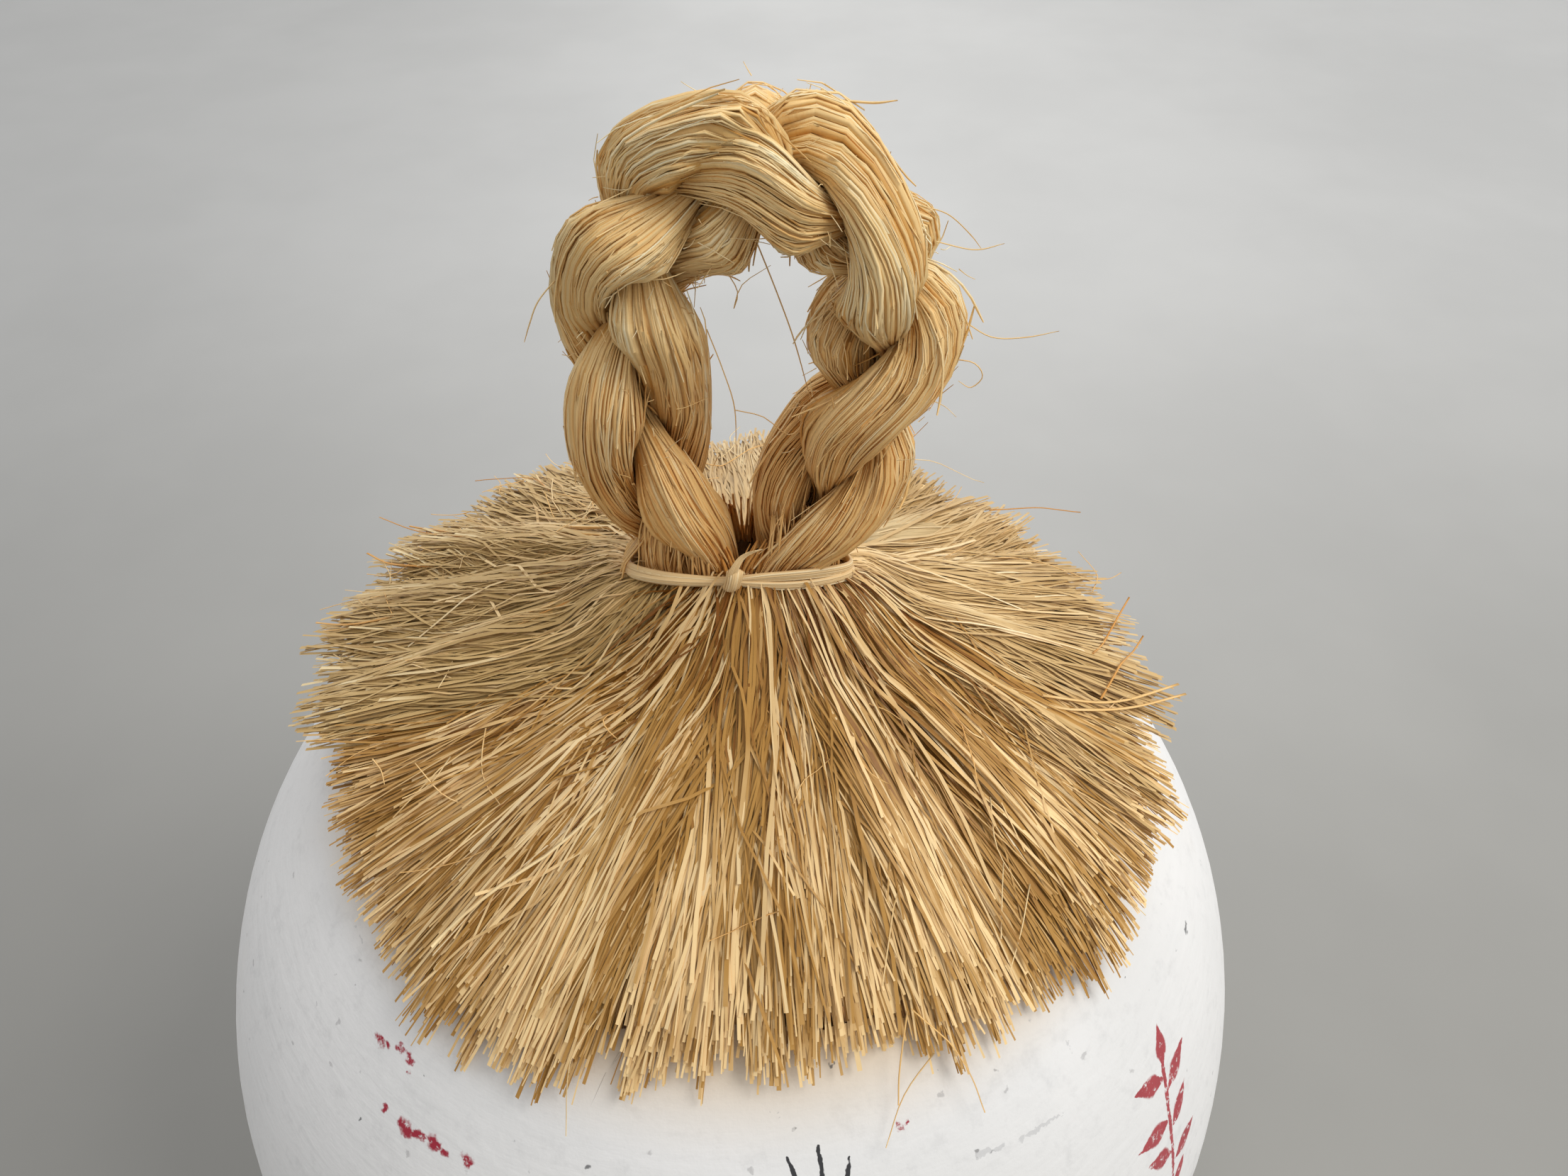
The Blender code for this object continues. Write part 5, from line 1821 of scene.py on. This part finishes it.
# Straws that lie loosely on the skirt: (half width in millimetres, tone, lift of the end in
# millimetres, course), with a course in headings in degrees and reaches in millimetres
LAID_STRAWS = (
    (0.13, 0.95, 0.5, ((-99.0, 7.5), (-113.0, 12.4), (-122.0, 17.0), (-127.0, 20.6), (-130.0, 23.6))),
    (0.05, 0.30, 0.6, ((-30.0, 10.8), (-30.5, 13.5), (-36.3, 15.1), (-41.0, 16.5))),
    (0.05, 0.35, 0.6, ((-82.5, 8.3), (-76.9, 9.6), (-77.2, 11.5))),
    (0.08, 0.12, 0.7, ((1.0, 21.0), (16.0, 26.0))),
    (0.08, 0.10, 0.6, ((-7.0, 21.2), (9.0, 25.6))),
    (0.12, 0.70, 0.5, ((-14.2, 18.0), (-7.8, 22.3), (-2.0, 26.8))),
    (0.12, 0.65, 0.5, ((-11.9, 17.6), (-7.2, 21.8), (-0.9, 26.4))),
    (0.06, 0.05, 0.9, ((41.0, 22.0), (39.5, 26.0), (36.0, 29.5))),
    (0.05, 0.45, 0.5, ((-135.7, 8.5), (-124.6, 9.1), (-128.3, 11.2), (-121.3, 11.7))),
    (0.05, 0.55, 0.2, ((-67.5, 22.5), (-63.3, 25.2), (-62.6, 26.9))),
    (0.05, 0.55, 0.2, ((-68.0, 22.5), (-70.7, 24.3), (-71.7, 25.4))),
    (0.06, 0.10, 0.9, ((152.0, 20.0), (150.0, 26.0), (148.0, 31.5))),
    (0.05, 0.15, 0.7, ((133.0, 20.0), (131.0, 24.0), (136.0, 28.0))),
    (0.10, 0.20, 0.4, ((158.0, 22.0), (157.0, 26.0), (155.5, 28.8))),
    (0.10, 0.25, 0.3, ((150.0, 22.0), (149.0, 25.0), (148.5, 28.0))),
    (0.09, 0.30, 0.3, ((172.0, 22.0), (171.5, 25.0), (170.0, 28.0))),
)
STRAW_POINTS = 14
HAIR_POINTS = 16
HAIR_SEED = 41

# Fuzz on the loop: how many hairs, on which stations of its course, lengths in millimetres and
# how many are so long
LOOP_HAIRS = 340
FUZZ_STATIONS = 200
FUZZ_PLACES = (12, 189)
FUZZ_POINTS = 7
FUZZ_LENGTHS = (0.7, 1.2, 2.0)
FUZZ_LENGTH_SHARES = (0.5, 0.4, 0.1)

# How far out a thin hair on the skirt may reach, as a share of the rim's own reach
FLYAWAY_SHARE = 1.07
FLYAWAY_POINTS = 9

# Thin hairs on the skirt: (how many, between which headings in degrees)
FLYAWAYS = ((60, (-180.0, 180.0)), (46, (95.0, 178.0)))


def laid_straw(grid, lift, course):
    """A straw on top of the skirt, through points given by heading and reach."""
    corners = [in_plan(math.radians(degrees), reach * MM) for degrees, reach in course]
    plan = smooth_route(corners, STRAW_POINTS)
    height = grid_height(grid, plan, 1.0) + (0.35 + lift * np.linspace(0.0, 1.0, STRAW_POINTS) ** 2) * MM
    return np.column_stack([plan, height])


def build_stray_hairs(material, grid):
    """Loose straws and hairs: those listed, then the fuzz of the loop and of the rim."""
    rng = np.random.default_rng(HAIR_SEED)
    routes = []
    for half, tone, lift, course in LAID_STRAWS:
        halves = np.linspace(1.0, 0.8, STRAW_POINTS) * half * MM
        routes.append((laid_straw(grid, lift, course), halves, tone, 0.95))
    taper = np.interp(np.linspace(0, 1, HAIR_POINTS), (0, 0.7, 1), (1, 1, 0.5))
    for half, corners in STRAY_HAIRS:
        line = smooth_route(corners, HAIR_POINTS) * MM + np.array([0.0, 0.0, BALL_CENTRE.z])
        routes.append((line, half * MM * taper, 0.45, 0.9))
    routes += loop_fuzz(rng, LOOP_HAIRS)
    for count, degrees in FLYAWAYS:
        routes += skirt_flyaways(grid, rng, count, degrees)
    hairs = fibre_mesh("stray_hairs", routes, 3, 0.8, "MINIMUM")
    finish_piece(hairs, material, "hemp_fibre")


def loop_fuzz(rng, count):
    """Short curled hairs that stand off the braid."""
    course = loop_course(FUZZ_STATIONS)
    routes = []
    for _ in range(count):
        _, _, point, inward = course[int(rng.integers(*FUZZ_PLACES))]
        angle = rng.uniform(0.0, 2.0 * math.pi)
        outward = inward * math.cos(angle) + FORWARD * math.sin(angle)
        tangent = inward.cross(FORWARD)
        start = point + outward * rng.uniform(2.3, 3.3) * MM
        length = rng.choice(FUZZ_LENGTHS, p=FUZZ_LENGTH_SHARES) * rng.uniform(0.7, 1.3) * MM
        lean = tangent * float(rng.normal(0.0, 0.9)) + outward * float(rng.uniform(0.15, 0.9))
        curl = outward.cross(tangent) * float(rng.normal(0.0, 0.8))
        middle = start + lean * length * 0.5 + curl * length * 0.12
        end = start + lean * length + curl * length * 0.5
        line = settle(smooth_route([start, middle, end], FUZZ_POINTS))
        halves = np.linspace(0.035, 0.020, FUZZ_POINTS) * MM
        routes.append((line, halves, rng.uniform(0.3, 0.9), 0.9))
    return routes


def skirt_flyaways(grid, rng, count, degrees):
    """Thin hairs that lie loosely across the skirt and stand out past its rim."""
    routes = []
    for _ in range(count):
        turn = math.radians(rng.uniform(*degrees))
        share = rng.uniform(0.35, 0.98)
        rim = float(grid_rim(grid[0], np.array([turn]))[0])
        start = in_plan(turn, rim * share)
        swerve = turn + rng.normal(0.0, 0.9)
        length = rng.uniform(2.0, 7.0) * MM
        end = start + length * np.array([math.cos(swerve), math.sin(swerve)])
        bend = rng.normal(0.0, 0.10) * length * np.array([-math.sin(swerve), math.cos(swerve)])
        plan = smooth_route([start, (start + end) / 2 + bend, end], FLYAWAY_POINTS)
        far = np.hypot(*(end - SKIRT_MIDDLE)) / rim
        if far > FLYAWAY_SHARE:
            plan = start + (plan - start) * (FLYAWAY_SHARE - share) / (far - share)
        lift = 0.25 + rng.uniform(0.0, 0.8) * np.linspace(0, 1, FLYAWAY_POINTS) ** 2
        course = np.column_stack([plan, grid_height(grid, plan, 1.0) + lift * MM])
        halves = np.linspace(0.045, 0.03, FLYAWAY_POINTS) * MM
        routes.append((course, halves, rng.uniform(0.4, 1.0), 1.0))
    return routes


def main():
    build_camera()
    build_light()
    build_floor()
    materials = build_materials()
    build_ball(materials["white_paint"])
    grid = build_skirt(materials)
    build_braid(materials)
    build_neck_fibres(materials["hemp_braid"], grid)
    build_tie(materials["hemp_ribbon"])
    build_stray_hairs(materials["hemp_braid"], grid)


main()
